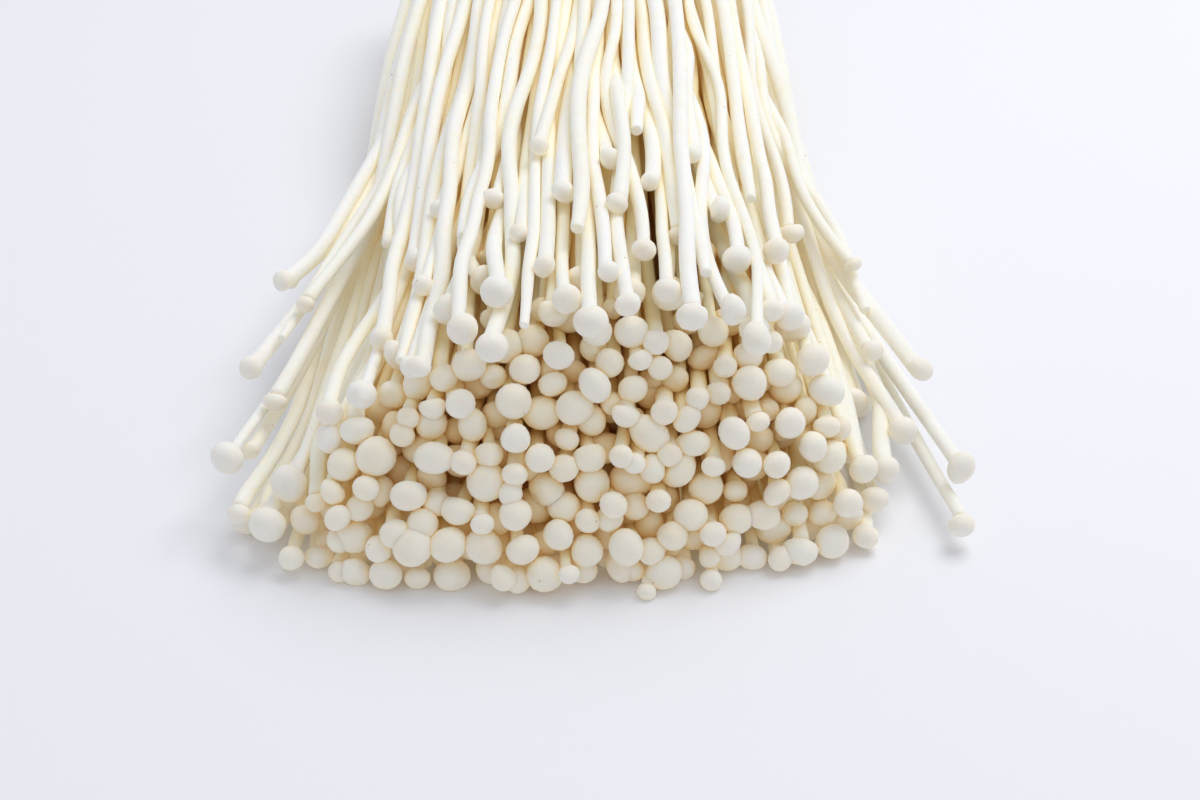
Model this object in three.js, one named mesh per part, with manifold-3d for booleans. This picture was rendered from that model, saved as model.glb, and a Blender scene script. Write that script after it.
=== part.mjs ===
// A bunch of enoki mushrooms, laid on its side as bought: millimetres, +Z up, caps towards -Y.
// Every stem grows from one root base. Lengths along a stem, s, are measured from the root face,
// where s is 0, towards the caps.
import * as THREE from 'three';
import { mergeVertices } from 'three/addons/utils/BufferGeometryUtils.js';
import Module from 'manifold-3d';

// ---- driving sizes ----
const COUNT = 380;                 // mushrooms in the bunch
const OUTER = 56;                  // of them, the ones round the outside, each a node of its own
const STEM_LENGTH = 176;           // root face to the foremost cap
const STEM_RADIUS = 1.28;
const CAP_RADIUS = 2.6;
const ROOT_HALF_WIDTH = 38;
const ROOT_HALF_HEIGHT = 22;
const ROOT_DEPTH = 22;             // root face to the cut back face
const HEAD_HALF_WIDTH = 55;
const HEAD_HEIGHT = 47;
const SKEW = 0.15;                 // how far the crest lies to the right of the middle
const SHOULDER_HEIGHT = 45;        // crest just in front of the root
const SPREAD_LENGTH = 156;         // the bunch widens over this stretch
const LEAN_LENGTH = 150;           // and a stem leans to a place of its own over this one
const LIE_LENGTH = 80;             // the oval at the root has come to lie flat by here
const DOME = { round: 2.4, steep: 0.75 };
const FACE = { middle: -9, bulge: 0.0035, slope: 0.24, overhang: 0.36 };  // of the foremost caps
const GAP = 0.3;                   // kept between pieces that touch on the real bunch
const FOOT_GAP = 0.9;              // root face to a stem's end, which may slant towards it

// ---- how the stems lie ----
const SEED = 20;
const SLICE = 3;                   // spacing of the cross-sections in which the stems are settled
const SLICES = Math.floor(STEM_LENGTH / SLICE) + 2;
const EDGE = 0.995;                // how near a stem comes to the rim of the unit disc
const WAYWARD = 0.08;              // how far it leans from its own place in the disc
const WAVE = { size: 1.1, shortest: 55, longest: 110, rise: 50, up: 0.7, looseTop: 0.6 };
const USUAL_DEPTH = 3.6;           // how far most caps lie behind the face
const TOP = { from: 0.3, share: 0.5, least: 6, more: 54, bias: 1.4 };  // short mushrooms on top
const FLANK = { from: 0.72, share: 0.55, least: 4, most: 40 };         // and at the sides
const STEM_VARIES = { by: 0.12, least: 0.95, most: 1.7 };
const CAP_VARIES = { by: 0.15, least: 1.3, most: 3.5, smaller: 0.3 / 80 };  // least is of its stem
const STRIDE = 173;                // order in which caps look for room, shares no factor with COUNT
const DEEPEST = 26;                // furthest that a cap steps back to find room
const STEP_BACK = 0.8;
const CROWD = { rounds: 80, press: 0.97, drawn: 0.4, home: 0.03, past: 12 };
const CROWD_LENGTH = 50;           // the last stretch of a stem, which follows its cap aside
const SETTLE = { rounds: 90, gap: 0.15, hold: 0.99, rooted: true };
const CLEAR = { rounds: 400, gap: 1.05, hold: 1, rooted: false };  // then the outer ones alone
const STEADY = 0.4;                // how much a stray gives way, where others give all
const ROOTED = { firm: 6, free: 30 };  // a rooted stem gives way fully only beyond the second
const FRESH = 12;                  // rounds between new lists of neighbours
const REACH = 2;                   // extra distance within which two stems count as neighbours
const GOLDEN_ANGLE = Math.PI * (3 - Math.sqrt(5));

// ---- mushrooms that stand out ----
// A row lies on the table in front, some lean out of the flanks, and short ones are strewn over the top.
// near and far are how far behind the foremost cap they end, and out how far past the bunch they lean.
const ROW = { count: 13, from: -50, to: 50, height: 3, back: 4, jitter: 0.25 };
const FLANKS = [{ side: -1, count: 9, out: 8 }, { side: 1, count: 7, out: 14 }];
const SPLAY = { near: 10, far: 74, rise: 0.25, lift: 8 };
const STREWN = { count: 42, from: -38, to: 34, near: 15, far: 76, bias: 1.5, proud: 1.2 };
const EVENLY = (Math.sqrt(5) - 1) / 2;  // steps of this share strew places evenly, in no visible order
const SHOWN_CAP = { least: 2.1, most: 3.3, shrink: 0.016 };  // shrink is for each mm behind the front
const BROKEN_EVERY = 6;
const SWEPT_EVERY = 11;
const SWEEP = { slight: 4, wide: 10 };
const BEND = { straight: 1.6, slight: 2.4, late: 5 };  // how late a stray leaves its neighbours' course
const LATE_SWEEP = 8;              // a sweep this wide comes late
const PAST_TIP = 1.05;             // a stray's course is drawn on this far, of its length

// ---- how finely the solids are drawn ----
const STEM_SIDES = 6;
const STEM_STEP = 9;
const CAP_RINGS = 4;
const CAP_BELOW = 0.64;            // cap depth under its widest ring, of its radius
const CAP_ABOVE = 0.82;
const CORE_SIDES = 30;
const CORE_STEPS = 13;
const CORE_EDGE = 0.95;            // how much of the section the inner mushrooms fill
const CORE_GAP = 0.8;              // kept between it and the outer ones
const CORE_INSET = 8;              // body of the inner mushrooms, behind the foremost caps
const CORE_WAIST = 0.3;            // the least it narrows to
// Inner caps drawn on that body: at least spacing apart, reach from the middle of the disc at most,
// proud of the body's face and rooted this deep in it.
const PEG = { spacing: 8.5, reach: 0.74, proud: -1, rooted: 9, shoulder: 0.7, rise: 0.6 };
const ROOT_SIDES = 36;
const ROOT_STEPS = 5;
const ROOT_LUMP = 1.1;
const ROOT_SWELL = { wide: 1.04, tall: 1.06, middle: 0.04 };  // beyond the feet of the stems
const FLAT_UNDER = 1.6;            // lumps lower than this are pressed flat on the surface

const wasm = await Module();
wasm.setup();

class Chance {
  constructor(seed) {
    this.state = seed;
  }

  unit() {
    this.state = (Math.imul(this.state, 1664525) + 1013904223) >>> 0;
    return this.state / 4294967296;
  }

  span(low, high) {
    return low + (high - low) * this.unit();
  }

  bell() {
    return (this.unit() + this.unit() + this.unit() + this.unit() - 2) / 0.577;
  }
}

function clamp(t, low, high) {
  return Math.min(Math.max(t, low), high);
}

function smooth(t) {
  const c = clamp(t, 0, 1);
  return c * c * (3 - 2 * c);
}

// ---- the shape of the bunch ----

// Width and height of the bunch at s, above the place u across it: from an oval at the root to a
// low dome on the surface.
function outline(u, s) {
  const chord = Math.sqrt(Math.max(1 - u * u, 1e-6));
  const half = ROOT_HALF_WIDTH + (HEAD_HALF_WIDTH - ROOT_HALF_WIDTH) * clamp(s / SPREAD_LENGTH, 0, 1);
  const lie = smooth(s / LIE_LENGTH);
  const aside = Math.abs(u - SKEW * (1 - u * u));
  const dome = aside < 1 ? (1 - aside ** DOME.round) ** DOME.steep : 0;
  const crest = SHOULDER_HEIGHT + (HEAD_HEIGHT - SHOULDER_HEIGHT) * smooth(s / LEAN_LENGTH);
  const low = (1 - lie) * ROOT_HALF_HEIGHT * (1 - chord);
  const top = (1 - lie) * ROOT_HALF_HEIGHT * (1 + chord) + lie * crest * dome;
  return { half, chord, low, top };
}

// Where the place (u, v) of a unit disc lies in the section at s. w is its height in the bunch, -1 to 1.
function section(u, v, s) {
  const { half, chord, low, top } = outline(u, s);
  const w = clamp(v / chord, -1, 1);
  return { x: half * u, z: low + (top - low) * (w + 1) / 2, w };
}

// How far the face of caps lies behind the foremost cap.
function front(x, z) {
  return FACE.bulge * (x - FACE.middle) ** 2 + z * (FACE.slope + FACE.overhang * z / HEAD_HEIGHT);
}

// ---- the mushrooms ----

function pathAt(path, s) {
  const k = clamp(s / SLICE, 0, SLICES - 1.001);
  const j = Math.floor(k);
  const [a, b] = [path[j], path[j + 1]];
  return { x: a.x + (b.x - a.x) * (k - j), z: a.z + (b.z - a.z) * (k - j) };
}

// How far behind the face of caps a mushroom ends: little inside, more on top and on the flanks.
function drawDepth(chance, u, upper) {
  const little = -Math.log(1 - 0.97 * chance.unit()) * USUAL_DEPTH;
  const short = chance.unit();
  if (short < TOP.share * upper) {
    return TOP.least + TOP.more * chance.unit() ** TOP.bias * upper;
  }
  if (Math.abs(u) > FLANK.from && short < FLANK.share) {
    return chance.span(FLANK.least, FLANK.most);
  }
  return little;
}

function drawWave(chance) {
  return {
    size: chance.span(-WAVE.size, WAVE.size),
    start: chance.span(0, 2 * Math.PI),
    length: chance.span(WAVE.shortest, WAVE.longest),
  };
}

function wave(shape, s) {
  return smooth(s / WAVE.rise) * shape.size * Math.sin(shape.start + 2 * Math.PI * s / shape.length);
}

// Root places lie on a sunflower spiral, so the last ones are the outermost.
function growOne(i, chance) {
  const spread = Math.sqrt((i + 0.5) / COUNT);
  const u = spread * Math.cos(i * GOLDEN_ANGLE);
  const v = spread * Math.sin(i * GOLDEN_ANGLE);
  const du = WAYWARD * chance.bell();
  const dv = WAYWARD * chance.bell();
  const upper = smooth((section(u, v, STEM_LENGTH).w - TOP.from) / (1 - TOP.from));
  const depth = drawDepth(chance, u, upper);
  const wideStem = STEM_RADIUS * (1 + STEM_VARIES.by * chance.bell());
  const stem = clamp(wideStem, STEM_VARIES.least, STEM_VARIES.most);
  const wideCap = CAP_RADIUS * (1 + CAP_VARIES.by * chance.bell()) * (1 - CAP_VARIES.smaller * depth);
  const cap = clamp(wideCap, stem * CAP_VARIES.least, CAP_VARIES.most);
  const across = drawWave(chance);
  const up = drawWave(chance);
  const loose = 1 + WAVE.looseTop * upper;
  const path = [];
  for (let k = 0; k < SLICES; k += 1) {
    const s = k * SLICE;
    const lean = smooth(s / LEAN_LENGTH);
    const far = Math.hypot(u + du * lean, v + dv * lean);
    const keep = far > EDGE ? EDGE / far : 1;
    const at = section((u + du * lean) * keep, (v + dv * lean) * keep, s);
    path.push({ x: at.x + loose * wave(across, s), z: at.z + WAVE.up * wave(up, s) });
  }
  return { depth, stem, cap, path, length: 0, placed: false };
}

// Where the mushrooms that stand out end. A broken one has no cap, and a swept one bends aside at its end.
function drawStrays(chance) {
  const strays = [];
  const add = (x, behind, z, broken, sweep) => {
    const cap = chance.span(SHOWN_CAP.least, SHOWN_CAP.most) - SHOWN_CAP.shrink * behind;
    strays.push({ x, behind, z, cap: broken ? 0 : cap, sweep });
  };
  for (let k = 0; k < ROW.count; k += 1) {
    const share = (k + 0.5 + chance.span(-ROW.jitter, ROW.jitter)) / ROW.count;
    const x = ROW.from + (ROW.to - ROW.from) * share;
    add(x, front(x, ROW.height) + chance.span(0, ROW.back), ROW.height, false, 0);
  }
  for (const { side, count, out } of FLANKS) {
    for (let k = 0; k < count; k += 1) {
      const along = (SPLAY.far - SPLAY.near) * (k + 0.5) / count;
      const { half } = outline(0, STEM_LENGTH - SPLAY.near - along);
      const x = side * (half + chance.span(0, out));
      const z = ROW.height + SPLAY.rise * along + chance.span(0, SPLAY.lift);
      add(x, SPLAY.near + along, z, k % BROKEN_EVERY === BROKEN_EVERY - 1, side * SWEEP.slight);
    }
  }
  for (let k = 0; k < STREWN.count; k += 1) {
    const share = (k + 0.5) / STREWN.count;
    const behind = STREWN.near + (STREWN.far - STREWN.near) * share ** STREWN.bias;
    const x = STREWN.from + (STREWN.to - STREWN.from) * (((k + 0.5) * EVENLY) % 1);
    const s = STEM_LENGTH - behind;
    const { top } = outline(x / outline(0, s).half, s);
    const swept = k % SWEPT_EVERY === SWEPT_EVERY - 1;
    const z = top + chance.span(0, STREWN.proud);
    add(x, behind, z, k % BROKEN_EVERY === BROKEN_EVERY - 1, swept ? SWEEP.wide : 0);
  }
  return strays;
}

// Each stray takes over the mushroom that runs nearest to it, and draws its course to the new tip.
function placeStrays(bunch, strays) {
  for (const { x, behind, z, cap, sweep } of strays) {
    const length = STEM_LENGTH - behind;
    const miss = (m) => {
      const p = pathAt(m.path, length);
      return (p.x - x + sweep) ** 2 + (p.z - z) ** 2;
    };
    const free = bunch.filter((m) => !m.placed);
    const nearest = free.reduce((best, m) => (miss(m) < miss(best) ? m : best));
    nearest.placed = true;
    nearest.length = length;
    nearest.cap = cap ? Math.max(cap, nearest.stem * CAP_VARIES.least) : nearest.stem;
    const tip = pathAt(nearest.path, length);
    const slight = sweep ? BEND.slight : BEND.straight;
    const bend = Math.abs(sweep) > LATE_SWEEP ? BEND.late : slight;
    nearest.path.forEach((p, k) => {
      const pull = clamp(k * SLICE / length, 0, PAST_TIP) ** bend;
      p.x += (x - tip.x) * pull;
      p.z += (z - tip.z) * pull;
    });
  }
}

// Each of the other caps steps back from the face until it finds room between the caps set before it.
function findRoom(bunch) {
  const spots = [];
  const order = bunch.map((m, i) => bunch[(i * STRIDE) % COUNT]);
  for (const m of order.filter((other) => other.placed)) {
    const s = m.length - CAP_ABOVE * m.cap;
    spots.push({ ...pathAt(m.path, s), s, cap: m.cap });
  }
  for (const m of order.filter((other) => !other.placed)) {
    const tip = pathAt(m.path, STEM_LENGTH);
    const start = STEM_LENGTH - front(tip.x, tip.z) - m.depth;
    let back = -STEP_BACK;
    let spot;
    let crowded;
    do {
      back += STEP_BACK;
      const s = start - back - CAP_ABOVE * m.cap;
      spot = { ...pathAt(m.path, s), s, cap: m.cap };
      crowded = spots.some((other) => {
        const apart = Math.hypot(other.x - spot.x, other.z - spot.z, other.s - spot.s);
        return apart < (other.cap + spot.cap) * CROWD.press;
      });
    } while (crowded && back <= DEEPEST);
    m.length = start - back;
    spots.push(spot);
  }
}

// Two caps, or the cap of the one behind and the stem of the one in front, push each other apart.
function jostle(a, b) {
  const [x, z, s] = [a.x - b.x, a.z - b.z, a.s - b.s];
  const apart = Math.sqrt(x * x + z * z + s * s) + 1e-9;
  const aside = Math.sqrt(x * x + z * z) + 1e-9;
  const over = (a.m.cap + b.m.cap) * CROWD.press - apart;
  const past = s > 0 ? a.m.stem + b.m.cap : a.m.cap + b.m.stem;
  const meet = over > 0;
  if (!meet && (Math.abs(s) >= CROWD.past || aside >= past)) {
    return;
  }
  const push = meet ? 0.5 * over / apart : 0.5 * (past - aside) / aside;
  for (const [c, way] of [[a, push], [b, -push]]) {
    c.dx += x * way;
    c.dz += z * way;
    c.ds += meet ? s * way : 0;
    c.hits += 1;
  }
}

// The caps crowd at the face like marbles in a tray. Each is drawn forward to its place behind the
// face while they jostle, and the last stretch of its stem follows it aside.
function crowd(bunch) {
  const caps = bunch.map((m) => {
    const s = m.length - CAP_ABOVE * m.cap;
    const home = pathAt(m.path, s);
    return { ...home, s, home, m };
  });
  const free = caps.filter((c) => !c.m.placed);
  for (let round = 0; round < CROWD.rounds; round += 1) {
    caps.forEach((c) => Object.assign(c, { dx: 0, dz: 0, ds: 0, hits: 0 }));
    for (let i = 0; i < caps.length; i += 1) {
      for (let j = i + 1; j < caps.length; j += 1) {
        jostle(caps[i], caps[j]);
      }
    }
    for (const c of free) {
      const ease = 1 / Math.sqrt(Math.max(c.hits, 1));
      c.x += c.dx * ease + (c.home.x - c.x) * CROWD.home;
      c.z += c.dz * ease + (c.home.z - c.z) * CROWD.home;
      c.z = Math.max(c.z, c.m.cap);
      c.s += c.ds * ease + CROWD.drawn * (1 - round / CROWD.rounds);
      c.s = Math.min(c.s, STEM_LENGTH - front(c.x, c.z) - c.m.depth - CAP_ABOVE * c.m.cap);
    }
  }
  for (const { m, x, z, s } of free) {
    const from = pathAt(m.path, s);
    m.path.forEach((p, k) => {
      const pull = smooth(1 - (s - k * SLICE) / CROWD_LENGTH);
      p.x += (x - from.x) * pull;
      p.z += (z - from.z) * pull;
    });
    m.length = s + CAP_ABOVE * m.cap;
  }
}

// How wide a mushroom is round about s: its widest within a third of a slice.
function radiusAt(m, s) {
  const from = Math.max(Math.abs(s - m.length + CAP_ABOVE * m.cap) - SLICE / 3, 0);
  return Math.max(m.stem, Math.sqrt(Math.max(m.cap ** 2 - from ** 2, 0)));
}

function findNeighbours(bunch) {
  const pairs = [];
  for (let k = 0; k < SLICES; k += 1) {
    const here = bunch.filter((m) => k * SLICE <= m.length + 0.2 * SLICE);
    for (let i = 0; i < here.length; i += 1) {
      for (let j = i + 1; j < here.length; j += 1) {
        const [a, b] = [here[i], here[j]];
        const touch = radiusAt(a, k * SLICE) + radiusAt(b, k * SLICE);
        const apart = Math.hypot(a.path[k].x - b.path[k].x, a.path[k].z - b.path[k].z);
        if (apart < touch + REACH) {
          pairs.push({ a: a.path[k], b: b.path[k], touch });
        }
      }
    }
  }
  return pairs;
}

// Pushes mushrooms that overlap apart, slice by slice, while each keeps a smooth course of its own.
// hold is how much of its shift a mushroom keeps each round. Feet that are rooted hardly move.
function settle(bunch, { rounds, gap, hold, rooted }) {
  for (const m of bunch) {
    m.aim = m.path.map((p) => ({ x: p.x, z: p.z }));
    m.path.forEach((p, k) => {
      const loose = (k * SLICE - ROOTED.firm) / (ROOTED.free - ROOTED.firm);
      p.grip = (rooted ? clamp(loose, 0, 1) : 1) * (m.placed ? STEADY : 1);
      p.radius = radiusAt(m, k * SLICE);
    });
  }
  let pairs = [];
  for (let round = 0; round < rounds; round += 1) {
    if (round % FRESH === 0) {
      pairs = findNeighbours(bunch);
    }
    for (const p of bunch.flatMap((m) => m.path)) {
      p.dx = 0;
      p.dz = 0;
      p.hits = 0;
    }
    for (const { a, b, touch } of pairs) {
      const [x, z] = [a.x - b.x, a.z - b.z];
      const apart = Math.sqrt(x * x + z * z) + 1e-9;
      const over = touch + gap - apart;
      if (over > 0) {
        const push = 0.5 * over / apart;
        a.dx += x * push;
        a.dz += z * push;
        b.dx -= x * push;
        b.dz -= z * push;
        a.hits += 1;
        b.hits += 1;
      }
    }
    for (const m of bunch) {
      const shift = m.path.map((p, k) => {
        const ease = p.grip / Math.sqrt(Math.max(p.hits, 1));
        return { x: p.x + p.dx * ease - m.aim[k].x, z: p.z + p.dz * ease - m.aim[k].z };
      });
      m.path.forEach((p, k) => {
        const [before, after] = [shift[k - 1] ?? shift[k], shift[k + 1] ?? shift[k]];
        const end = k === 0 || k === SLICES - 1;
        const x = end ? shift[k].x : 0.5 * shift[k].x + 0.25 * (before.x + after.x);
        const z = end ? shift[k].z : 0.5 * shift[k].z + 0.25 * (before.z + after.z);
        p.x = m.aim[k].x + x * hold;
        p.z = Math.max(m.aim[k].z + z * hold, p.radius);
      });
    }
  }
}

const bunch = [];
const chance = new Chance(SEED);
for (let i = 0; i < COUNT; i += 1) {
  bunch.push(growOne(i, chance));
}
placeStrays(bunch, drawStrays(chance));
findRoom(bunch);
crowd(bunch);
settle(bunch, SETTLE);
const outer = bunch.slice(COUNT - OUTER);
const inner = bunch.slice(0, COUNT - OUTER);
settle(outer, CLEAR);

// ---- solids ----

function toSolid(geometry) {
  const plain = geometry.clone();
  plain.deleteAttribute('normal');
  plain.deleteAttribute('uv');
  const merged = mergeVertices(plain, 1e-4);
  return new wasm.Manifold(new wasm.Mesh({
    numProp: 3,
    vertProperties: new Float32Array(merged.attributes.position.array),
    triVerts: new Uint32Array(merged.index.array),
  }));
}

function toGeometry(solid) {
  const mesh = solid.getMesh();
  const geometry = new THREE.BufferGeometry();
  geometry.setAttribute('position', new THREE.BufferAttribute(mesh.vertProperties, 3));
  geometry.setIndex(new THREE.BufferAttribute(mesh.triVerts, 1));
  geometry.computeVertexNormals();
  return geometry;
}

function point(path, s) {
  const p = pathAt(path, s);
  return new THREE.Vector3(p.x, -s, p.z);
}

// A cap's outline, turned about Y: its widest ring at y 0, its crown towards +Y.
function capOutline(radius) {
  const last = CAP_RINGS + 1;
  const points = [];
  for (let k = 0; k <= last; k += 1) {
    const turn = -Math.PI / 2 + Math.PI * k / last;
    const wide = k === 0 || k === last ? 0 : Math.cos(turn);
    const deep = turn < 0 ? CAP_BELOW : CAP_ABOVE;
    points.push(new THREE.Vector2(radius * wide, radius * deep * Math.sin(turn)));
  }
  return points;
}

function aimed(geometry, direction, place) {
  const turn = new THREE.Quaternion().setFromUnitVectors(new THREE.Vector3(0, 1, 0), direction);
  return geometry.applyQuaternion(turn).translate(place.x, place.y, place.z);
}

function mushroomSolid(m) {
  const capAt = m.length - CAP_ABOVE * m.cap;
  const steps = Math.max(3, Math.round(capAt / STEM_STEP));
  const course = [];
  for (let k = 0; k <= steps; k += 1) {
    course.push(point(m.path, FOOT_GAP + (capAt - FOOT_GAP) * k / steps));
  }
  const ring = [];
  for (let k = 0; k < STEM_SIDES; k += 1) {
    const turn = 2 * Math.PI * k / STEM_SIDES;
    ring.push(new THREE.Vector2(m.stem * Math.cos(turn), m.stem * Math.sin(turn)));
  }
  const stem = new THREE.ExtrudeGeometry(new THREE.Shape(ring), {
    steps,
    extrudePath: new THREE.CatmullRomCurve3(course),
  });
  const direction = course[steps].clone().sub(course[steps - 1]).normalize();
  const cap = aimed(new THREE.LatheGeometry(capOutline(m.cap), STEM_SIDES), direction, course[steps]);
  return toSolid(stem).add(toSolid(cap));
}

// The place of a point of the bunch in the unit disc: section() turned round.
function inDisc(x, z, s) {
  const half = outline(0, s).half;
  const u = clamp(x / half, -0.995, 0.995);
  const { chord, low, top } = outline(u, s);
  const w = 2 * (z - low) / Math.max(top - low, 1) - 1;
  return { u, v: w * chord };
}

// How far from the middle of the disc the inner mushrooms reach, in the direction turn at s, so that
// they stay clear of the outer ones there.
function coreEdge(turn, s, step) {
  const sector = 2 * Math.PI / CORE_SIDES;
  let edge = CORE_EDGE;
  for (const m of outer) {
    const last = Math.min(m.length, s + step);
    for (let t = Math.max(0, s - step); t <= last; t += SLICE) {
      const p = pathAt(m.path, t);
      const { u, v } = inDisc(p.x, p.z, t);
      const away = Math.hypot(u, v);
      const facing = (u * Math.cos(turn) + v * Math.sin(turn)) / away;
      if (facing > Math.cos(1.2 * sector)) {
        const { half, chord, low, top } = outline(u, t);
        const tall = (top - low) / 2 / chord;
        const perDisc = Math.hypot(u / away / half, v / away / tall);
        edge = Math.min(edge, away - (radiusAt(m, t) + CORE_GAP) * perDisc);
      }
    }
  }
  return Math.max(edge, CORE_WAIST);
}

// A closed outline turned about Y, drawn out into the bunch: radius is the place in the disc, y is t.
function drawnOut(profile, sides, place) {
  const geometry = new THREE.LatheGeometry(profile.map(([r, t]) => new THREE.Vector2(r, t)), sides);
  const spots = geometry.attributes.position;
  for (let k = 0; k < spots.count; k += 1) {
    const [x, y, z] = [spots.getX(k), spots.getY(k), spots.getZ(k)];
    const at = place(Math.hypot(x, z), Math.atan2(z, x), y);
    spots.setXYZ(k, at.x, at.y, at.z);
  }
  return geometry;
}

function coreSolid() {
  const profile = [[0, 1], [0.35, 1], [0.7, 1]];
  for (let k = CORE_STEPS; k >= 0; k -= 1) {
    profile.push([1, k / CORE_STEPS]);
  }
  profile.push([0, 0]);
  const step = STEM_LENGTH / CORE_STEPS;
  const geometry = drawnOut(profile, CORE_SIDES, (r, turn, t) => {
    const end = section(r * Math.cos(turn), r * Math.sin(turn), STEM_LENGTH);
    const s = GAP + t * (STEM_LENGTH - front(end.x, end.z) - CORE_INSET - GAP);
    const reach = r * coreEdge(turn, s, step);
    const at = section(reach * Math.cos(turn), reach * Math.sin(turn), s);
    return { x: at.x, y: -s, z: Math.max(at.z, 2 * GAP) };
  });
  return toSolid(geometry);
}

// How wide an inner cap can be drawn where it is: up to the nearest outer mushroom.
function roomFor(centre) {
  let room = Infinity;
  for (const m of outer) {
    for (let t = 0; t <= m.length; t += SLICE) {
      room = Math.min(room, centre.distanceTo(point(m.path, t)) - radiusAt(m, t) - GAP);
    }
  }
  return room;
}

// An inner mushroom's last stretch, from inside the core's face to its crown.
function pegs() {
  const found = [];
  const solids = [];
  for (const m of inner) {
    const s = m.length - CAP_ABOVE * m.cap;
    const centre = point(m.path, s);
    const face = STEM_LENGTH - front(centre.x, centre.z) - CORE_INSET;
    const { u, v } = inDisc(centre.x, centre.z, s);
    const alone = found.every((other) => other.distanceTo(centre) > PEG.spacing);
    const within = Math.hypot(u, v) < PEG.reach && s > face + PEG.proud;
    if (within && alone && roomFor(centre) > m.cap) {
      found.push(centre);
      const root = Math.min(face - PEG.rooted - s, -1.5 * m.cap);
      const profile = [
        new THREE.Vector2(0, root),
        new THREE.Vector2(m.stem, root),
        new THREE.Vector2(m.stem, -m.cap * CAP_BELOW),
        new THREE.Vector2(m.cap, 0),
        new THREE.Vector2(m.cap * PEG.shoulder, m.cap * PEG.rise),
        new THREE.Vector2(0, m.cap * CAP_ABOVE),
      ];
      const direction = centre.clone().sub(point(m.path, s - SLICE)).normalize();
      solids.push(toSolid(aimed(new THREE.LatheGeometry(profile, STEM_SIDES), direction, centre)));
    }
  }
  return solids;
}

function innerSolid() {
  let solid = coreSolid();
  for (const peg of pegs()) {
    solid = solid.add(peg);
  }
  return solid;
}

// The fused feet of the stems and the web of growth that they stand in, sliced off behind.
function rootSolid() {
  const profile = [[0, 0], [0.5, 0], [0.9, 0]];
  for (let k = 0; k <= ROOT_STEPS; k += 1) {
    profile.push([1, (k + 0.4) / (ROOT_STEPS + 0.8)]);
  }
  profile.push([0.93, 1], [0.5, 1], [0, 1]);
  const geometry = drawnOut(profile, ROOT_SIDES, (r, turn, t) => {
    const lump = Math.sin(5 * turn + 3 * t) * 0.6 + Math.sin(9 * turn - 5 * t) * 0.4;
    const bulge = ROOT_SWELL.middle * Math.sin(Math.PI * t);
    const swell = r * (1 + bulge + r * lump * ROOT_LUMP / ROOT_HALF_WIDTH);
    const x = ROOT_HALF_WIDTH * ROOT_SWELL.wide * Math.cos(turn) * swell;
    const z = ROOT_HALF_HEIGHT * (1 + ROOT_SWELL.tall * Math.sin(turn) * swell);
    return { x, y: t * ROOT_DEPTH, z: z < FLAT_UNDER ? 0 : z };
  });
  return toSolid(geometry);
}

// ---- the scene graph ----

const group = new THREE.Group();

function addPiece(name, solid, colour, roughness) {
  const material = new THREE.MeshStandardMaterial({ color: colour, roughness, metalness: 0 });
  const mesh = new THREE.Mesh(toGeometry(solid), material);
  mesh.name = name;
  group.add(mesh);
}

addPiece('root_base', rootSolid(), 0xe0cfa8, 0.85);
addPiece('inner_mushrooms', innerSolid(), 0xf0e8d2, 0.6);
outer.forEach((m, i) => {
  addPiece(`mushroom_${String(i + 1).padStart(2, '0')}`, mushroomSolid(m), 0xf7f3e8, 0.55);
});

// The origin goes under the middle of the bunch, on the surface that it lies on.
const box = new THREE.Box3().setFromObject(group, true);
const middle = box.getCenter(new THREE.Vector3());
group.position.set(-middle.x, -middle.y, -box.min.z);

export default group;
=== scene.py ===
# %% [markdown]
# # A bunch of enoki mushrooms
# Enoki are grown in the dark in bottles, crowded together, so each one is a long thin pale stem with a
# button of a cap. Nearly four hundred grow from one root base, and the bunch is sold whole. Here it
# lies on its side, with the caps towards the viewer.
#
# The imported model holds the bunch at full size. This script loads it as a fixed frame, grows the same
# bunch again in finer meshes, and gives each mushroom its flesh.

# %% Load the frame
import math

import bpy
import numpy as np
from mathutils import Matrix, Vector


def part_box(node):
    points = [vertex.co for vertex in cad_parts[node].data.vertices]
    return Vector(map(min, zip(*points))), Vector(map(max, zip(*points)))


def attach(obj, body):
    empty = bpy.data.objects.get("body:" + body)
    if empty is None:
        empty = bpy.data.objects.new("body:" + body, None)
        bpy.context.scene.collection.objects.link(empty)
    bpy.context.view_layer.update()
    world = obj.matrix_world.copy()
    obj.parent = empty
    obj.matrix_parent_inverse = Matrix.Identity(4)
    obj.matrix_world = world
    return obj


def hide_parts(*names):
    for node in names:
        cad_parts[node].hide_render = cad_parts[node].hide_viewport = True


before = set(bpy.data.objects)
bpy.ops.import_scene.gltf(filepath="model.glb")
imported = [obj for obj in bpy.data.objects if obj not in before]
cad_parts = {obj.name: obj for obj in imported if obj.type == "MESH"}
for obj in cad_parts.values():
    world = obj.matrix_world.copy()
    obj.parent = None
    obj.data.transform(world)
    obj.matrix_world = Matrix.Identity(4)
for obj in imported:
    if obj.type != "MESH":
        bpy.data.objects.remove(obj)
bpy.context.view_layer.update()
MM = 0.001
outer_names = sorted(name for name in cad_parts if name.startswith("mushroom_"))
print("the frame has", len(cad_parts), "nodes,", len(outer_names), "of them single mushrooms")

# %% [markdown]
# ## How the mushrooms lie
# Modelling so many mushrooms by hand would take weeks, and scattering copies would let them run
# through each other. So each is grown from a root place of its own, on a sunflower spiral that spaces
# them evenly. It gets a course to its tip and a little waywardness, and then they push each other
# apart until they nearly fit. The frame was grown by the same rules from the same sizes, in coarser
# meshes, so the two agree to a millimetre or two, but for the feet, which here run on into the root.
#
# Sizes here are in millimetres. A length along a stem, s, is measured from the face of the root.

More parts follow.
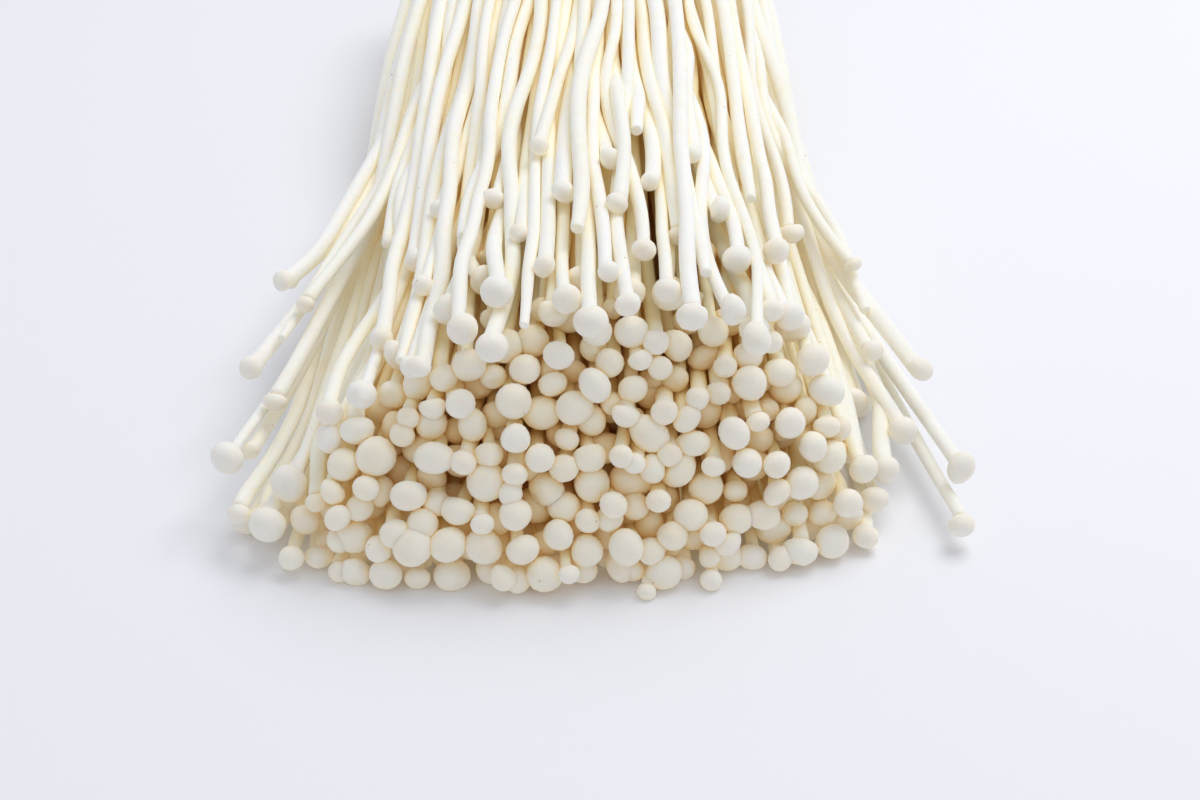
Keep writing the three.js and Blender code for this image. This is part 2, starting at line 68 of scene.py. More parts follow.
# %% Sizes of the bunch, mm
COUNT = 380
OUTER = len(outer_names)
STEM_LENGTH = 176.0
STEM_RADIUS = 1.28
CAP_RADIUS = 2.6
ROOT_HALF_WIDTH = 38.0
ROOT_HALF_HEIGHT = 22.0
HEAD_HALF_WIDTH = 55.0
HEAD_HEIGHT = 47.0
SKEW = 0.15
SHOULDER_HEIGHT = 45.0
SPREAD_LENGTH = 156.0
LEAN_LENGTH = 150.0
LIE_LENGTH = 80.0
DOME_ROUND, DOME_STEEP = 2.4, 0.75
FACE_MIDDLE, FACE_BULGE, FACE_SLOPE, FACE_OVERHANG = -9.0, 0.0035, 0.24, 0.36
CAP_ABOVE = 0.82
print(COUNT, "mushrooms, up to", STEM_LENGTH, "mm long,", OUTER, "of them on the outside")

# %% Chance that comes out the same each time
SEED = 20
FACTOR, INCREMENT, WORD = 1664525, 1013904223, 2 ** 32
FOUR_SPREAD = 0.577  # the standard deviation of four draws added up


class Chance:
    """A plain stream of numbers, the same in any language."""

    def __init__(self, seed):
        self.state = seed

    def unit(self):
        self.state = (self.state * FACTOR + INCREMENT) % WORD
        return self.state / WORD

    def span(self, low, high):
        return low + (high - low) * self.unit()

    def bell(self):
        return (self.unit() + self.unit() + self.unit() + self.unit() - 2) / FOUR_SPREAD


def clamp(t, low, high):
    return min(max(t, low), high)


def smooth(t):
    t = clamp(t, 0.0, 1.0)
    return t * t * (3 - 2 * t)


print(f"the first draw from seed {SEED} is {Chance(SEED).unit():.3f}")

# %% [markdown]
# The bunch is an oval at the root. Further out its own weight spreads it into a low dome on the table.

# %% The outline of the bunch
TINY = 1e-6


def outline(u, s):
    """Half width, half chord, lowest and highest point of the bunch at s, above the place u across it."""
    chord = math.sqrt(max(1 - u * u, TINY))
    half = ROOT_HALF_WIDTH + (HEAD_HALF_WIDTH - ROOT_HALF_WIDTH) * clamp(s / SPREAD_LENGTH, 0, 1)
    lie = smooth(s / LIE_LENGTH)
    aside = abs(u - SKEW * (1 - u * u))
    dome = (1 - aside ** DOME_ROUND) ** DOME_STEEP if aside < 1 else 0
    crest = SHOULDER_HEIGHT + (HEAD_HEIGHT - SHOULDER_HEIGHT) * smooth(s / LEAN_LENGTH)
    low = (1 - lie) * ROOT_HALF_HEIGHT * (1 - chord)
    top = (1 - lie) * ROOT_HALF_HEIGHT * (1 + chord) + lie * crest * dome
    return half, chord, low, top


def section(u, v, s):
    """Where the place (u, v) of a unit disc lies in the bunch at s, and its height in it, -1 to 1."""
    half, chord, low, top = outline(u, s)
    w = clamp(v / chord, -1, 1)
    return half * u, low + (top - low) * (w + 1) / 2, w


def front(x, z):
    """How far the face of caps lies behind the foremost cap."""
    return FACE_BULGE * (x - FACE_MIDDLE) ** 2 + z * (FACE_SLOPE + FACE_OVERHANG * z / HEAD_HEIGHT)


_, _, _, head_top = outline(0, STEM_LENGTH)
print(f"at the caps the bunch is {2 * HEAD_HALF_WIDTH:.0f} mm wide and {head_top:.0f} mm high in the middle")

# %% How far back a mushroom ends, mm
USUAL_DEPTH = 3.6
DRAWS_KEPT = 0.97  # keeps the draw short of its rarest values, which would end far too deep
TOP_SHARE = 0.5
TOP_DEPTH = (6, 54)
TOP_BIAS = 1.4
FLANK = 0.72
FLANK_SHARE = 0.55
FLANK_DEPTH = (4, 40)


def draw_depth(chance, u, upper):
    """How far behind the face a mushroom ends: little inside, more on top and on the flanks."""
    little = -math.log(1 - DRAWS_KEPT * chance.unit()) * USUAL_DEPTH
    short = chance.unit()
    if short < TOP_SHARE * upper:
        return TOP_DEPTH[0] + TOP_DEPTH[1] * chance.unit() ** TOP_BIAS * upper
    if abs(u) > FLANK and short < FLANK_SHARE:
        return chance.span(*FLANK_DEPTH)
    return little


print("usually", USUAL_DEPTH, "mm behind the face, on top up to", sum(TOP_DEPTH), "mm")

# %% Growing one mushroom
SLICE = 3.0
SLICES = int(STEM_LENGTH // SLICE) + 2
GOLDEN_ANGLE = math.pi * (3 - math.sqrt(5))
WAYWARD = 0.08
WAVE = 1.1
WAVE_LENGTH = (55, 110)
WAVE_UP = 0.7
WAVE_FROM_ROOT = 50  # over this length from the root the waves grow to their full size
LOOSE_TOP = 0.6
TOP_FROM = 0.3
RIM = 0.995  # the furthest out that a mushroom may stray, of the disc's radius
STEM_VARIES, STEM_LEAST, STEM_MOST = 0.12, 0.95, 1.7
CAP_VARIES, CAP_LEAST, CAP_MOST = 0.15, 1.3, 3.5  # CAP_LEAST is of its stem
CAP_SMALLER = 0.3 / 80


def draw_wave(chance):
    return chance.span(-WAVE, WAVE), chance.span(0, 2 * math.pi), chance.span(*WAVE_LENGTH)


def wave(shape, s):
    size, start, length = shape
    return smooth(s / WAVE_FROM_ROOT) * size * math.sin(start + 2 * math.pi * s / length)


def grow_one(i, chance):
    spread = math.sqrt((i + 0.5) / COUNT)
    u = spread * math.cos(i * GOLDEN_ANGLE)
    v = spread * math.sin(i * GOLDEN_ANGLE)
    du = WAYWARD * chance.bell()
    dv = WAYWARD * chance.bell()
    upper = smooth((section(u, v, STEM_LENGTH)[2] - TOP_FROM) / (1 - TOP_FROM))
    depth = draw_depth(chance, u, upper)
    stem = clamp(STEM_RADIUS * (1 + STEM_VARIES * chance.bell()), STEM_LEAST, STEM_MOST)
    wide_cap = CAP_RADIUS * (1 + CAP_VARIES * chance.bell()) * (1 - CAP_SMALLER * depth)
    cap = clamp(wide_cap, stem * CAP_LEAST, CAP_MOST)
    across = draw_wave(chance)
    up = draw_wave(chance)
    loose = 1 + LOOSE_TOP * upper
    path = np.zeros((SLICES, 2))
    for k in range(SLICES):
        s = k * SLICE
        lean = smooth(s / LEAN_LENGTH)
        far = math.hypot(u + du * lean, v + dv * lean)
        keep = RIM / far if far > RIM else 1
        x, z, w = section((u + du * lean) * keep, (v + dv * lean) * keep, s)
        path[k] = x + loose * wave(across, s), z + WAVE_UP * wave(up, s)
    return {
        "number": i, "place": (u, v), "depth": depth, "stem": stem, "cap": cap, "path": path,
        "length": 0.0, "placed": False, "broken": False,
    }


chance = Chance(SEED)
bunch = [grow_one(i, chance) for i in range(COUNT)]
print("grew", len(bunch), "mushrooms on", SLICES, "slices")

# %% [markdown]
# Some mushrooms stand out from the crowd: a row on the table in front, some that lean out of the flanks,
# and short ones strewn over the top. A few of them have lost their cap, and a few bend aside at the end.

# %% Mushrooms that stand out, mm
ROW_COUNT, ROW_FROM, ROW_TO = 13, -50, 50
ROW_HEIGHT, ROW_BACK, ROW_JITTER = 3, 4, 0.25
FLANKS = [(-1, 9, 8), (1, 7, 14)]  # side, how many, how far past the bunch they lean
SPLAY_NEAR, SPLAY_FAR, SPLAY_RISE, SPLAY_LIFT = 10, 74, 0.25, 8
STREWN_COUNT, STREWN_FROM, STREWN_TO = 42, -38, 34
STREWN_NEAR, STREWN_FAR, STREWN_BIAS, STREWN_PROUD = 15, 76, 1.5, 1.2
EVENLY = (math.sqrt(5) - 1) / 2  # steps of this share strew places evenly, in no visible order
SHOWN_CAP = (2.1, 3.3)
CAP_SHRINK = 0.016  # for each mm behind the foremost cap
BROKEN_EVERY = 6
SWEPT_EVERY = 11
SWEEP_SLIGHT, SWEEP_WIDE = 4, 10
flank_count = sum(count for _, count, _ in FLANKS)
print(ROW_COUNT, "in front,", flank_count, "on the flanks and", STREWN_COUNT, "on top stand out")


# %% Where they stand out
def draw_strays(chance):
    """Across, behind the front and up, cap radius and sweep of each. A broken one has no cap."""
    strays = []

    def add(x, behind, z, broken, sweep):
        cap = chance.span(*SHOWN_CAP) - CAP_SHRINK * behind
        strays.append((x, behind, z, 0 if broken else cap, sweep))

    for k in range(ROW_COUNT):
        share = (k + 0.5 + chance.span(-ROW_JITTER, ROW_JITTER)) / ROW_COUNT
        x = ROW_FROM + (ROW_TO - ROW_FROM) * share
        add(x, front(x, ROW_HEIGHT) + chance.span(0, ROW_BACK), ROW_HEIGHT, False, 0)
    for side, count, out in FLANKS:
        for k in range(count):
            along = (SPLAY_FAR - SPLAY_NEAR) * (k + 0.5) / count
            half = outline(0, STEM_LENGTH - SPLAY_NEAR - along)[0]
            x = side * (half + chance.span(0, out))
            z = ROW_HEIGHT + SPLAY_RISE * along + chance.span(0, SPLAY_LIFT)
            add(x, SPLAY_NEAR + along, z, k % BROKEN_EVERY == BROKEN_EVERY - 1, side * SWEEP_SLIGHT)
    for k in range(STREWN_COUNT):
        share = (k + 0.5) / STREWN_COUNT
        behind = STREWN_NEAR + (STREWN_FAR - STREWN_NEAR) * share ** STREWN_BIAS
        x = STREWN_FROM + (STREWN_TO - STREWN_FROM) * (((k + 0.5) * EVENLY) % 1)
        s = STEM_LENGTH - behind
        top = outline(x / outline(0, s)[0], s)[3]
        swept = k % SWEPT_EVERY == SWEPT_EVERY - 1
        z = top + chance.span(0, STREWN_PROUD)
        add(x, behind, z, k % BROKEN_EVERY == BROKEN_EVERY - 1, SWEEP_WIDE if swept else 0)
    return strays


strays = draw_strays(chance)
print("drew", len(strays), "places")

# %% Mushrooms drawn to those places
BEND_STRAIGHT, BEND_SLIGHT, BEND_LATE = 1.6, 2.4, 5
LATE_SWEEP = 8
PAST_TIP = 1.05  # the bend runs on a little past the tip
LAST_PLACE = SLICES - 1.001  # just short of the last slice, so that another follows it


def path_at(path, s):
    k = clamp(s / SLICE, 0, LAST_PLACE)
    j = int(k)
    return path[j] + (path[j + 1] - path[j]) * (k - j)


def place_strays(bunch, strays):
    """Each stray takes over the mushroom that runs nearest to it, and draws it to the new tip."""
    for x, behind, z, cap, sweep in strays:
        length = STEM_LENGTH - behind

        def miss(m):
            p = path_at(m["path"], length)
            return (p[0] - x + sweep) ** 2 + (p[1] - z) ** 2

        m = min((m for m in bunch if not m["placed"]), key=miss)
        m["placed"] = True
        m["broken"] = cap == 0
        m["length"] = length
        m["cap"] = max(cap, m["stem"] * CAP_LEAST) if cap else m["stem"]
        slight = BEND_SLIGHT if sweep else BEND_STRAIGHT
        bend = BEND_LATE if abs(sweep) > LATE_SWEEP else slight
        off = np.array([x, z]) - path_at(m["path"], length)
        for k in range(SLICES):
            m["path"][k] += off * clamp(k * SLICE / length, 0, PAST_TIP) ** bend


place_strays(bunch, strays)
print("placed", len(strays), "strays,", sum(m["broken"] for m in bunch), "of them broken off")

# %% [markdown]
# The other caps fill the face like marbles in a box. Taken in a scattered order, each steps back from
# the face until it finds room between those already there, or has gone as far back as it may. That
# gives the face its depth.

# %% Room for every cap
STRIDE = 173
DEEPEST = 26
STEP_BACK = 0.8
CROWD_PRESS = 0.97


def find_room(bunch):
    order = [bunch[(i * STRIDE) % COUNT] for i in range(COUNT)]
    spots = []
    for m in order:
        if m["placed"]:
            s = m["length"] - CAP_ABOVE * m["cap"]
            spots.append((*path_at(m["path"], s), s, m["cap"]))
    for m in order:
        if m["placed"]:
            continue
        x, z = path_at(m["path"], STEM_LENGTH)
        start = STEM_LENGTH - front(x, z) - m["depth"]
        taken = np.array(spots)
        back = -STEP_BACK
        crowded = True
        while crowded and back <= DEEPEST:
            back += STEP_BACK
            s = start - back - CAP_ABOVE * m["cap"]
            spot = np.array([*path_at(m["path"], s), s])
            apart = np.sqrt(((taken[:, :3] - spot) ** 2).sum(1))
            crowded = bool(np.any(apart < (taken[:, 3] + m["cap"]) * CROWD_PRESS))
        m["length"] = start - back
        spots.append((*spot, m["cap"]))


find_room(bunch)
reach = np.array([m["length"] for m in bunch])
print(f"mushrooms are {reach.min():.0f} to {reach.max():.0f} mm long, {np.median(reach):.0f} in the middle")

# %% [markdown]
# Caps held to straight lines would leave gaps that real ones fill. So they jostle at the face: each is
# drawn forward to its place while it pushes its neighbours aside or back, and stands clear of the stems
# that run past it. The last stretch of its stem follows.

# %% Crowding at the face
CROWD_ROUNDS = 80
CROWD_DRAWN = 0.4
CROWD_HOME = 0.03
CROWD_PAST = 12.0
CROWD_LENGTH = 50.0
NEVER_ZERO = 1e-9  # added to a distance before something is divided by it


def crowd(bunch):
    cap, stem, depth, length = (np.array([m[k] for m in bunch]) for k in ("cap", "stem", "depth", "length"))
    free = np.array([not m["placed"] for m in bunch])
    back = length - CAP_ABOVE * cap
    place = np.array([[*path_at(m["path"], s), s] for m, s in zip(bunch, back)])
    home = place.copy()
    for turn in range(CROWD_ROUNDS):
        between = place[:, None] - place[None]
        apart = np.sqrt((between ** 2).sum(2)) + NEVER_ZERO
        aside = np.sqrt((between[..., :2] ** 2).sum(2)) + NEVER_ZERO
        over = np.maximum((cap[:, None] + cap[None]) * CROWD_PRESS - apart, 0)
        np.fill_diagonal(over, 0)
        in_front = between[..., 2] > 0
        past = np.where(in_front, stem[:, None] + cap[None], cap[:, None] + stem[None])
        beside = (over == 0) & (np.abs(between[..., 2]) < CROWD_PAST)
        tight = np.where(beside, np.maximum(past - aside, 0), 0)
        np.fill_diagonal(tight, 0)
        move = (between * (0.5 * over / apart)[..., None]).sum(1)
        move[:, :2] += (between[..., :2] * (0.5 * tight / aside)[..., None]).sum(1)
        hits = (over > 0).sum(1) + (tight > 0).sum(1)
        move /= np.sqrt(np.maximum(hits, 1))[:, None]
        move[:, :2] += (home - place)[:, :2] * CROWD_HOME
        move[:, 2] += CROWD_DRAWN * (1 - turn / CROWD_ROUNDS)
        place[free] += move[free]
        place[:, 1] = np.where(free, np.maximum(place[:, 1], cap), place[:, 1])
        most = STEM_LENGTH - front(place[:, 0], place[:, 1]) - depth - CAP_ABOVE * cap
        place[:, 2] = np.where(free, np.minimum(place[:, 2], most), place[:, 2])
    for m, (x, z, s) in zip(bunch, place):
        if not m["placed"]:
            off = np.array([x, z]) - path_at(m["path"], s)
            pull = [smooth(1 - (s - k * SLICE) / CROWD_LENGTH) for k in range(SLICES)]
            m["path"] += off * np.array(pull)[:, None]
            m["length"] = s + CAP_ABOVE * m["cap"]


crowd(bunch)
reach = np.array([m["length"] for m in bunch])
print(f"after crowding the middle length is {np.median(reach):.0f} mm")

# %% [markdown]
# Now they settle. In each slice across the bunch a mushroom is a disc, as wide as its stem or its cap
# there. Discs that overlap push each other apart, each mushroom's shifts are evened out along its
# length so that it stays a smooth stem, and none sinks through the table. Some inner ones still press
# into each other a little at the end, as the numbers printed here say.

# %% Discs and their neighbours
REACH = 2.0
station = np.arange(SLICES) * SLICE


def radii(group):
    """How wide each mushroom is round about each slice: its widest within a third of a slice."""
    length, stem, cap = (np.array([m[k] for m in group]) for k in ("length", "stem", "cap"))
    away = np.abs(station[:, None] - length + CAP_ABOVE * cap)
    away = np.maximum(away - SLICE / 3, 0)
    return np.maximum(stem, np.sqrt(np.maximum(cap ** 2 - away ** 2, 0)))


def find_neighbours(place, radius, there):
    first, second = [], []
    count = place.shape[1]
    for k in range(SLICES):
        here = np.nonzero(there[k])[0]
        spot, wide = place[k][here], radius[k][here]
        gap = np.linalg.norm(spot[:, None] - spot[None], axis=2)
        near = gap < wide[:, None] + wide[None] + REACH
        a, b = np.nonzero(np.triu(near, 1))
        first.append(k * count + here[a])
        second.append(k * count + here[b])
    return np.concatenate(first), np.concatenate(second)


print(f"discs are {radii(bunch).min():.1f} to {radii(bunch).max():.1f} mm in radius")

# %% Settling
STEADY = 0.4
FRESH = 12
PAST_END = 0.2  # of a slice: a disc this far past the mushroom's end still counts
HELD, EASED_OVER = 6, 24  # mm: the root holds the stems up to here, and then lets go over this length
PRESSED = 0.3


def settle(group, rounds, gap, hold, rooted):
    """Pushes mushrooms that overlap apart, and gives how far each pair of discs still presses.

    hold is how much of its shift one keeps each round."""
    count = len(group)
    total = SLICES * count
    aim = np.stack([m["path"] for m in group], 1)
    radius = radii(group)
    there = station[:, None] <= np.array([m["length"] for m in group]) + PAST_END * SLICE
    grip = np.clip((station - HELD) / EASED_OVER, 0, 1) if rooted else np.ones(SLICES)
    grip = grip[:, None] * np.array([STEADY if m["placed"] else 1.0 for m in group])
    place = aim.copy()
    wide = radius.ravel()
    for turn in range(rounds):
        if turn % FRESH == 0:
            a, b = find_neighbours(place, radius, there)
        flat = place.reshape(-1, 2)
        between = flat[a] - flat[b]
        apart = np.sqrt((between ** 2).sum(1)) + NEVER_ZERO
        over = np.maximum(wide[a] + wide[b] + gap - apart, 0)
        push = between * (0.5 * over / apart)[:, None]
        pushed = [np.bincount(a, way, total) - np.bincount(b, way, total) for way in push.T]
        move = np.stack(pushed, 1)
        hits = np.bincount(a, over > 0, total) + np.bincount(b, over > 0, total)
        move /= np.sqrt(np.maximum(hits, 1))[:, None]
        shift = place + move.reshape(SLICES, count, 2) * grip[..., None] - aim
        even = shift.copy()
        even[1:-1] = 0.5 * shift[1:-1] + 0.25 * (shift[:-2] + shift[2:])
        place = aim + even * hold
        place[..., 1] = np.maximum(place[..., 1], radius)
    for i, m in enumerate(group):
        m["path"] = place[:, i].copy()
    flat = place.reshape(-1, 2)
    apart = np.sqrt(((flat[a] - flat[b]) ** 2).sum(1))
    return np.maximum(wide[a] + wide[b] - apart, 0)


left = settle(bunch, rounds=90, gap=0.15, hold=0.99, rooted=True)
outer = bunch[COUNT - OUTER:]
inner = bunch[:COUNT - OUTER]
left_outer = settle(outer, rounds=400, gap=1.05, hold=1, rooted=False)
print(f"settled: {np.sum(left > PRESSED)} of {len(left)} pairs of discs press more than {PRESSED} mm")
print(f"then, among the outer ones alone, {np.sum(left_outer > 0)} pairs press")

# %% [markdown]
# ## Into the frame
# The grown bunch is set where the frame says: the root's face gives its place along Y, and the outer
# mushrooms, which the frame holds one by one, give its place across.

# %% Place in the frame
SAMPLE_STEP = 1.0
root_low, root_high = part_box("root_base")
root_face = root_low.y / MM


def own_box(m):
    stations = np.arange(0, m["length"], SAMPLE_STEP)
    spots = np.array([path_at(m["path"], s) for s in stations])
    return spots.min(0), spots.max(0)


def box_middles(names, group):
    for name, m in zip(names, group):
        low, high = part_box(name)
        own_low, own_high = own_box(m)
        yield (low.x + high.x) / 2 / MM - (own_low[0] + own_high[0]) / 2


shifts = np.array(list(box_middles(outer_names, outer)))
across = float(np.median(shifts))
print(f"root face at y {root_face:.2f} mm, bunch set across by {across:.2f} mm")
print(f"between them the outer mushrooms ask for shifts that differ by up to {np.ptp(shifts):.2f} mm")

# %% [markdown]
# ## The stem
# A stem is a smooth tube along its settled course. The course is known every few millimetres, and a
# Catmull-Rom curve through those places gives the soft bends between them. It starts inside the root,
# so that it looks grown there, not stuck on.

# %% The course of a stem
FOOT = -3.0


def catmull_rom(a, b, c, d, t):
    """The place t of the way from b to c on the curve through a, b, c and d."""
    return b + 0.5 * t * (c - a + t * (2 * a - 5 * b + 4 * c - d + t * (3 * (b - c) + d - a)))


def course(m, s):
    """Places along the stem's axis at the stations s, mm in the row frame."""
    path = m["path"]
    k = np.clip(s / SLICE, 0, LAST_PLACE)
    j = k.astype(int)
    t = (k - j)[:, None]
    a, b, c, d = (path[np.clip(j + step, 0, SLICES - 1)] for step in (-1, 0, 1, 2))
    spot = catmull_rom(a, b, c, d, t)
    spot += np.minimum(s, 0)[:, None] / SLICE * (path[1] - path[0])
    return np.stack([spot[:, 0] + across, root_face - s, spot[:, 1]], 1)


def unit(vectors):
    return vectors / np.linalg.norm(vectors, axis=-1, keepdims=True)


def square_axes(along):
    """Two directions square to each one in along. The stems all run near enough along Y."""
    side = unit(np.cross(along, (0.0, 0.0, 1.0)))
    return side, np.cross(side, along)


first_foot = course(bunch[0], np.array([FOOT]))[0]
print("the first stem starts at", [round(float(c), 1) for c in first_foot], "mm, inside the root")

# %% [markdown]
# ## The cap
# An enoki cap is a small dome whose edge rolls in round the stem. From the front it looks like a
# pearl. No two are alike: some are wide or bent like a bean, some have a dimple or a bump on the
# crown, and a few have dried into wrinkles. One outline is turned round the stem's end, and then
# pushed about a little by each cap's own draw of numbers.

# %% The outline of a cap
def smooth_through(points, between):
    """A Catmull-Rom curve through points, with that many steps from each to the next."""
    p = np.array(points, float)
    p = np.vstack([2 * p[0] - p[1], p, 2 * p[-1] - p[-2]])
    out = []
    for i in range(1, len(p) - 2):
        a, b, c, d = p[i - 1:i + 3]
        for t in np.arange(between) / between:
            out.append(catmull_rom(a, b, c, d, t))
    out.append(p[-2])
    return np.array(out)


NECK_AT, NECK_EASE = -0.64, 0.3
UNDER_OUT, UNDER_CLEAR = 0.82, 0.06  # how far out the underside bulges, and its least step from the neck
EDGE_OUT, EDGE_CLEAR = 0.96, 0.02  # the same for the rolled edge, from the underside


def cap_outline(neck):
    """Rings of a cap of radius 1 as (along, out), from where the stem of radius neck enters it."""
    under = max(UNDER_OUT, neck + UNDER_CLEAR)
    edge = max(EDGE_OUT, under + EDGE_CLEAR)
    return smooth_through([
        (NECK_AT, neck), (-0.61, (neck + under) / 2), (-0.47, under), (-0.23, edge), (0.0, 1.0),
        (0.28, 0.955), (0.54, 0.80), (0.73, 0.50), (CAP_ABOVE, 0.0),
    ], 2)


TORN_TIP = [(-2.0, 1.0), (-0.8, 0.99), (-0.1, 0.95), (0.14, 0.80), (0.2, 0.45), (0.18, 0.0)]
print("a cap's outline has", len(cap_outline(0.5)), "rings")

# %% How one cap differs from the next
KINDS = ["round"] * 13 + ["wide"] * 3 + ["bean"] * 2 + ["bumped"] + ["dimpled"] * 2 + ["wrinkled"]
WIDE_BY, BEAN_BY, USUAL_BY = (0.10, 0.20), (0.16, 0.28), (0, 0.07)
TALL = (0.90, 1.18)
LEAN, LEAN_MOST = 0.2, 0.3
TWO_LOBES, THREE_LOBES = 0.022, 0.016
SPOT = (-0.35, 0.35)
OVAL = 0.05


def draw_character(chance, broken):
    """One mushroom's looks. A width is drawn for each kind that has its own, and one of them is used."""
    kind = "torn" if broken else KINDS[int(chance.unit() * len(KINDS))]
    widths = {"wide": chance.span(*WIDE_BY), "bean": chance.span(*BEAN_BY)}
    return {
        "kind": kind,
        "widen": widths.get(kind, chance.span(*USUAL_BY)),
        "turn": chance.span(0, math.pi),
        "tall": chance.span(*TALL),
        "lean": tuple(clamp(LEAN * chance.bell(), -LEAN_MOST, LEAN_MOST) for _ in range(2)),
        "lobes": (TWO_LOBES * chance.bell(), THREE_LOBES * chance.bell()),
        "phase": (chance.span(0, 2 * math.pi), chance.span(0, 2 * math.pi)),
        "tint": chance.unit(),
        "spot": (chance.span(*SPOT), chance.span(*SPOT)),
        "oval": OVAL * chance.bell(),
    }


print(len(KINDS), "chances to draw a kind from,", KINDS.count("round"), "of them plain round")

# %% The shape of one cap
SPOT_WIDTH_SQUARED = 0.09
BUMP, DIMPLE, WRINKLE_DIMPLE = 0.22, 0.13, 0.10
MANY_FOLDS, MORE_FOLDS, MORE_SHARE = 7, 11, 0.6
PINCH, PINCH_GROWS, PINCH_FROM, FOLD_RISE = 0.035, 1.5, -0.5, 0.02
BEAN_BEND, BEAN_TILT = 0.30, 0.12
NARROWER = 0.5  # of what it gains in width


def shaped_cap(rings, turn, look):
    """The cap's surface as (sideways, up, along), for every ring and every direction in turn."""
    along, out = rings[:, :1], rings[:, 1:]
    start, other_start = look["phase"]
    two_lobes, three_lobes = look["lobes"]
    lobe = 1 + two_lobes * np.cos(2 * turn + start) + three_lobes * np.cos(3 * turn + other_start)
    x = out * lobe * np.cos(turn)
    y = out * lobe * np.sin(turn)
    z = np.where(along > 0, along * look["tall"], along) + 0 * x
    crown = np.exp(-((x - look["spot"][0]) ** 2 + (y - look["spot"][1]) ** 2) / SPOT_WIDTH_SQUARED)
    crown = crown * (along > 0)
    if look["kind"] == "torn":
        return np.stack([x, y, along + 0 * x], -1)
    if look["kind"] == "bumped":
        z = z + BUMP * crown
    if look["kind"] == "dimpled":
        z = z - DIMPLE * crown
    if look["kind"] == "wrinkled":
        folds = np.sin(MANY_FOLDS * turn + start) + MORE_SHARE * np.sin(MORE_FOLDS * turn + other_start)
        pinch = 1 + PINCH * folds * np.clip(out, 0, 1) ** PINCH_GROWS * (along > PINCH_FROM)
        x = x * pinch
        y = y * pinch
        z = z - WRINKLE_DIMPLE * crown + FOLD_RISE * folds * out * (along > 0)
    if look["kind"] == "bean":
        z = z - BEAN_BEND * x ** 2 + BEAN_TILT * x
    x = x * (1 + look["widen"])
    y = y * (1 - NARROWER * look["widen"])
    c, s = math.cos(look["turn"]), math.sin(look["turn"])
    # A cap takes its own shape only clear of the neck, where it has to meet its stem all round.
    free = np.clip((along - NECK_AT) / NECK_EASE, 0, 1)
    plain = [out * np.cos(turn), out * np.sin(turn), along + 0 * x]
    own = [c * x - s * y, s * x + c * y, z]
    return np.stack([a + (b - a) * free for a, b in zip(plain, own)], -1)


print(f"its own shape is full from {NECK_AT + NECK_EASE:.2f} of its radius along it")

# %% [markdown]
# ## Shade inside the bunch
# The stems yellow towards the middle of the bunch. That is partly their own creamier tone, where they are
# packed and damp, and partly painted warm shade, for the dim light that reaches deep in. Each mesh point
# keeps how deep it lies, from 0 on the outside to 1 at 15 mm in, and the flesh's colour reads it.

# %% How deep a place lies
DEEP = 15.0
RIM_INSIDE = 0.99
LEAST_THICK = 1  # mm


def depth_in_bunch(spots):
    """0 at the outside of the bunch to 1 DEEP in, for mm places in the row frame."""
    out = np.zeros(len(spots))
    for i, (x, y, z) in enumerate(spots):
        s = clamp(root_face - y, 0, STEM_LENGTH)
        half = outline(0, s)[0]
        u = clamp((x - across) / half, -RIM_INSIDE, RIM_INSIDE)
        _, chord, low, top = outline(u, s)
        w = 2 * (z - low) / max(top - low, LEAST_THICK) - 1
        inside = (1 - math.hypot(u, w * chord)) * HEAD_HEIGHT / 2
        behind = STEM_LENGTH - front(x - across, z) - s
        out[i] = clamp(min(inside, behind) / DEEP, 0, 1)
    return out


heart = np.array([[across, root_face - STEM_LENGTH / 2, HEAD_HEIGHT / 2]])
print(f"half way along, the middle of the bunch is {depth_in_bunch(heart)[0]:.2f} deep")

# %% Rings along a stem and round it
FINE_LENGTH = 34  # mm: the stretch next to the cap has rings twice as close
LEAST_BACK, LEAST_NEAR = 3, 4
OUTER_MESH = {"sides": 20, "coarse": 2.4}  # coarse is the mm between rings near the cap
INNER_MESH = {"sides": 16, "coarse": 3.0}


def stem_stations(end, coarse):
    near = max(FOOT, end - FINE_LENGTH)
    back_count = max(LEAST_BACK, int((near - FOOT) / (2 * coarse)))
    near_count = max(LEAST_NEAR, int((end - near) / coarse))
    back = np.linspace(FOOT, near, back_count, endpoint=False)
    return np.concatenate([back, np.linspace(near, end, near_count)])


def ring_corners(rings, sides):
    """Each point of each ring but the last, and the next point round it. Point 0 is the first end."""
    start = 1 + np.arange(rings - 1)[:, None] * sides
    here = np.arange(sides)[None]
    return start + here, start + (here + 1) % sides


print("an inner stem of full length has", len(stem_stations(STEM_LENGTH, INNER_MESH["coarse"])), "rings")

# %% One mushroom's mesh
WIDEST_NECK = 0.86  # of the cap
NECK_REACH = 0.5  # of the stem's radius: how far before the cap the stem's own rings stop
UNEVEN, UNEVEN_LENGTH = 0.035, 9
FOOT_SWELL, FOOT_SWELL_LENGTH = 0.16, 4
TORN_THIN, TORN_LENGTH = 0.22, 12


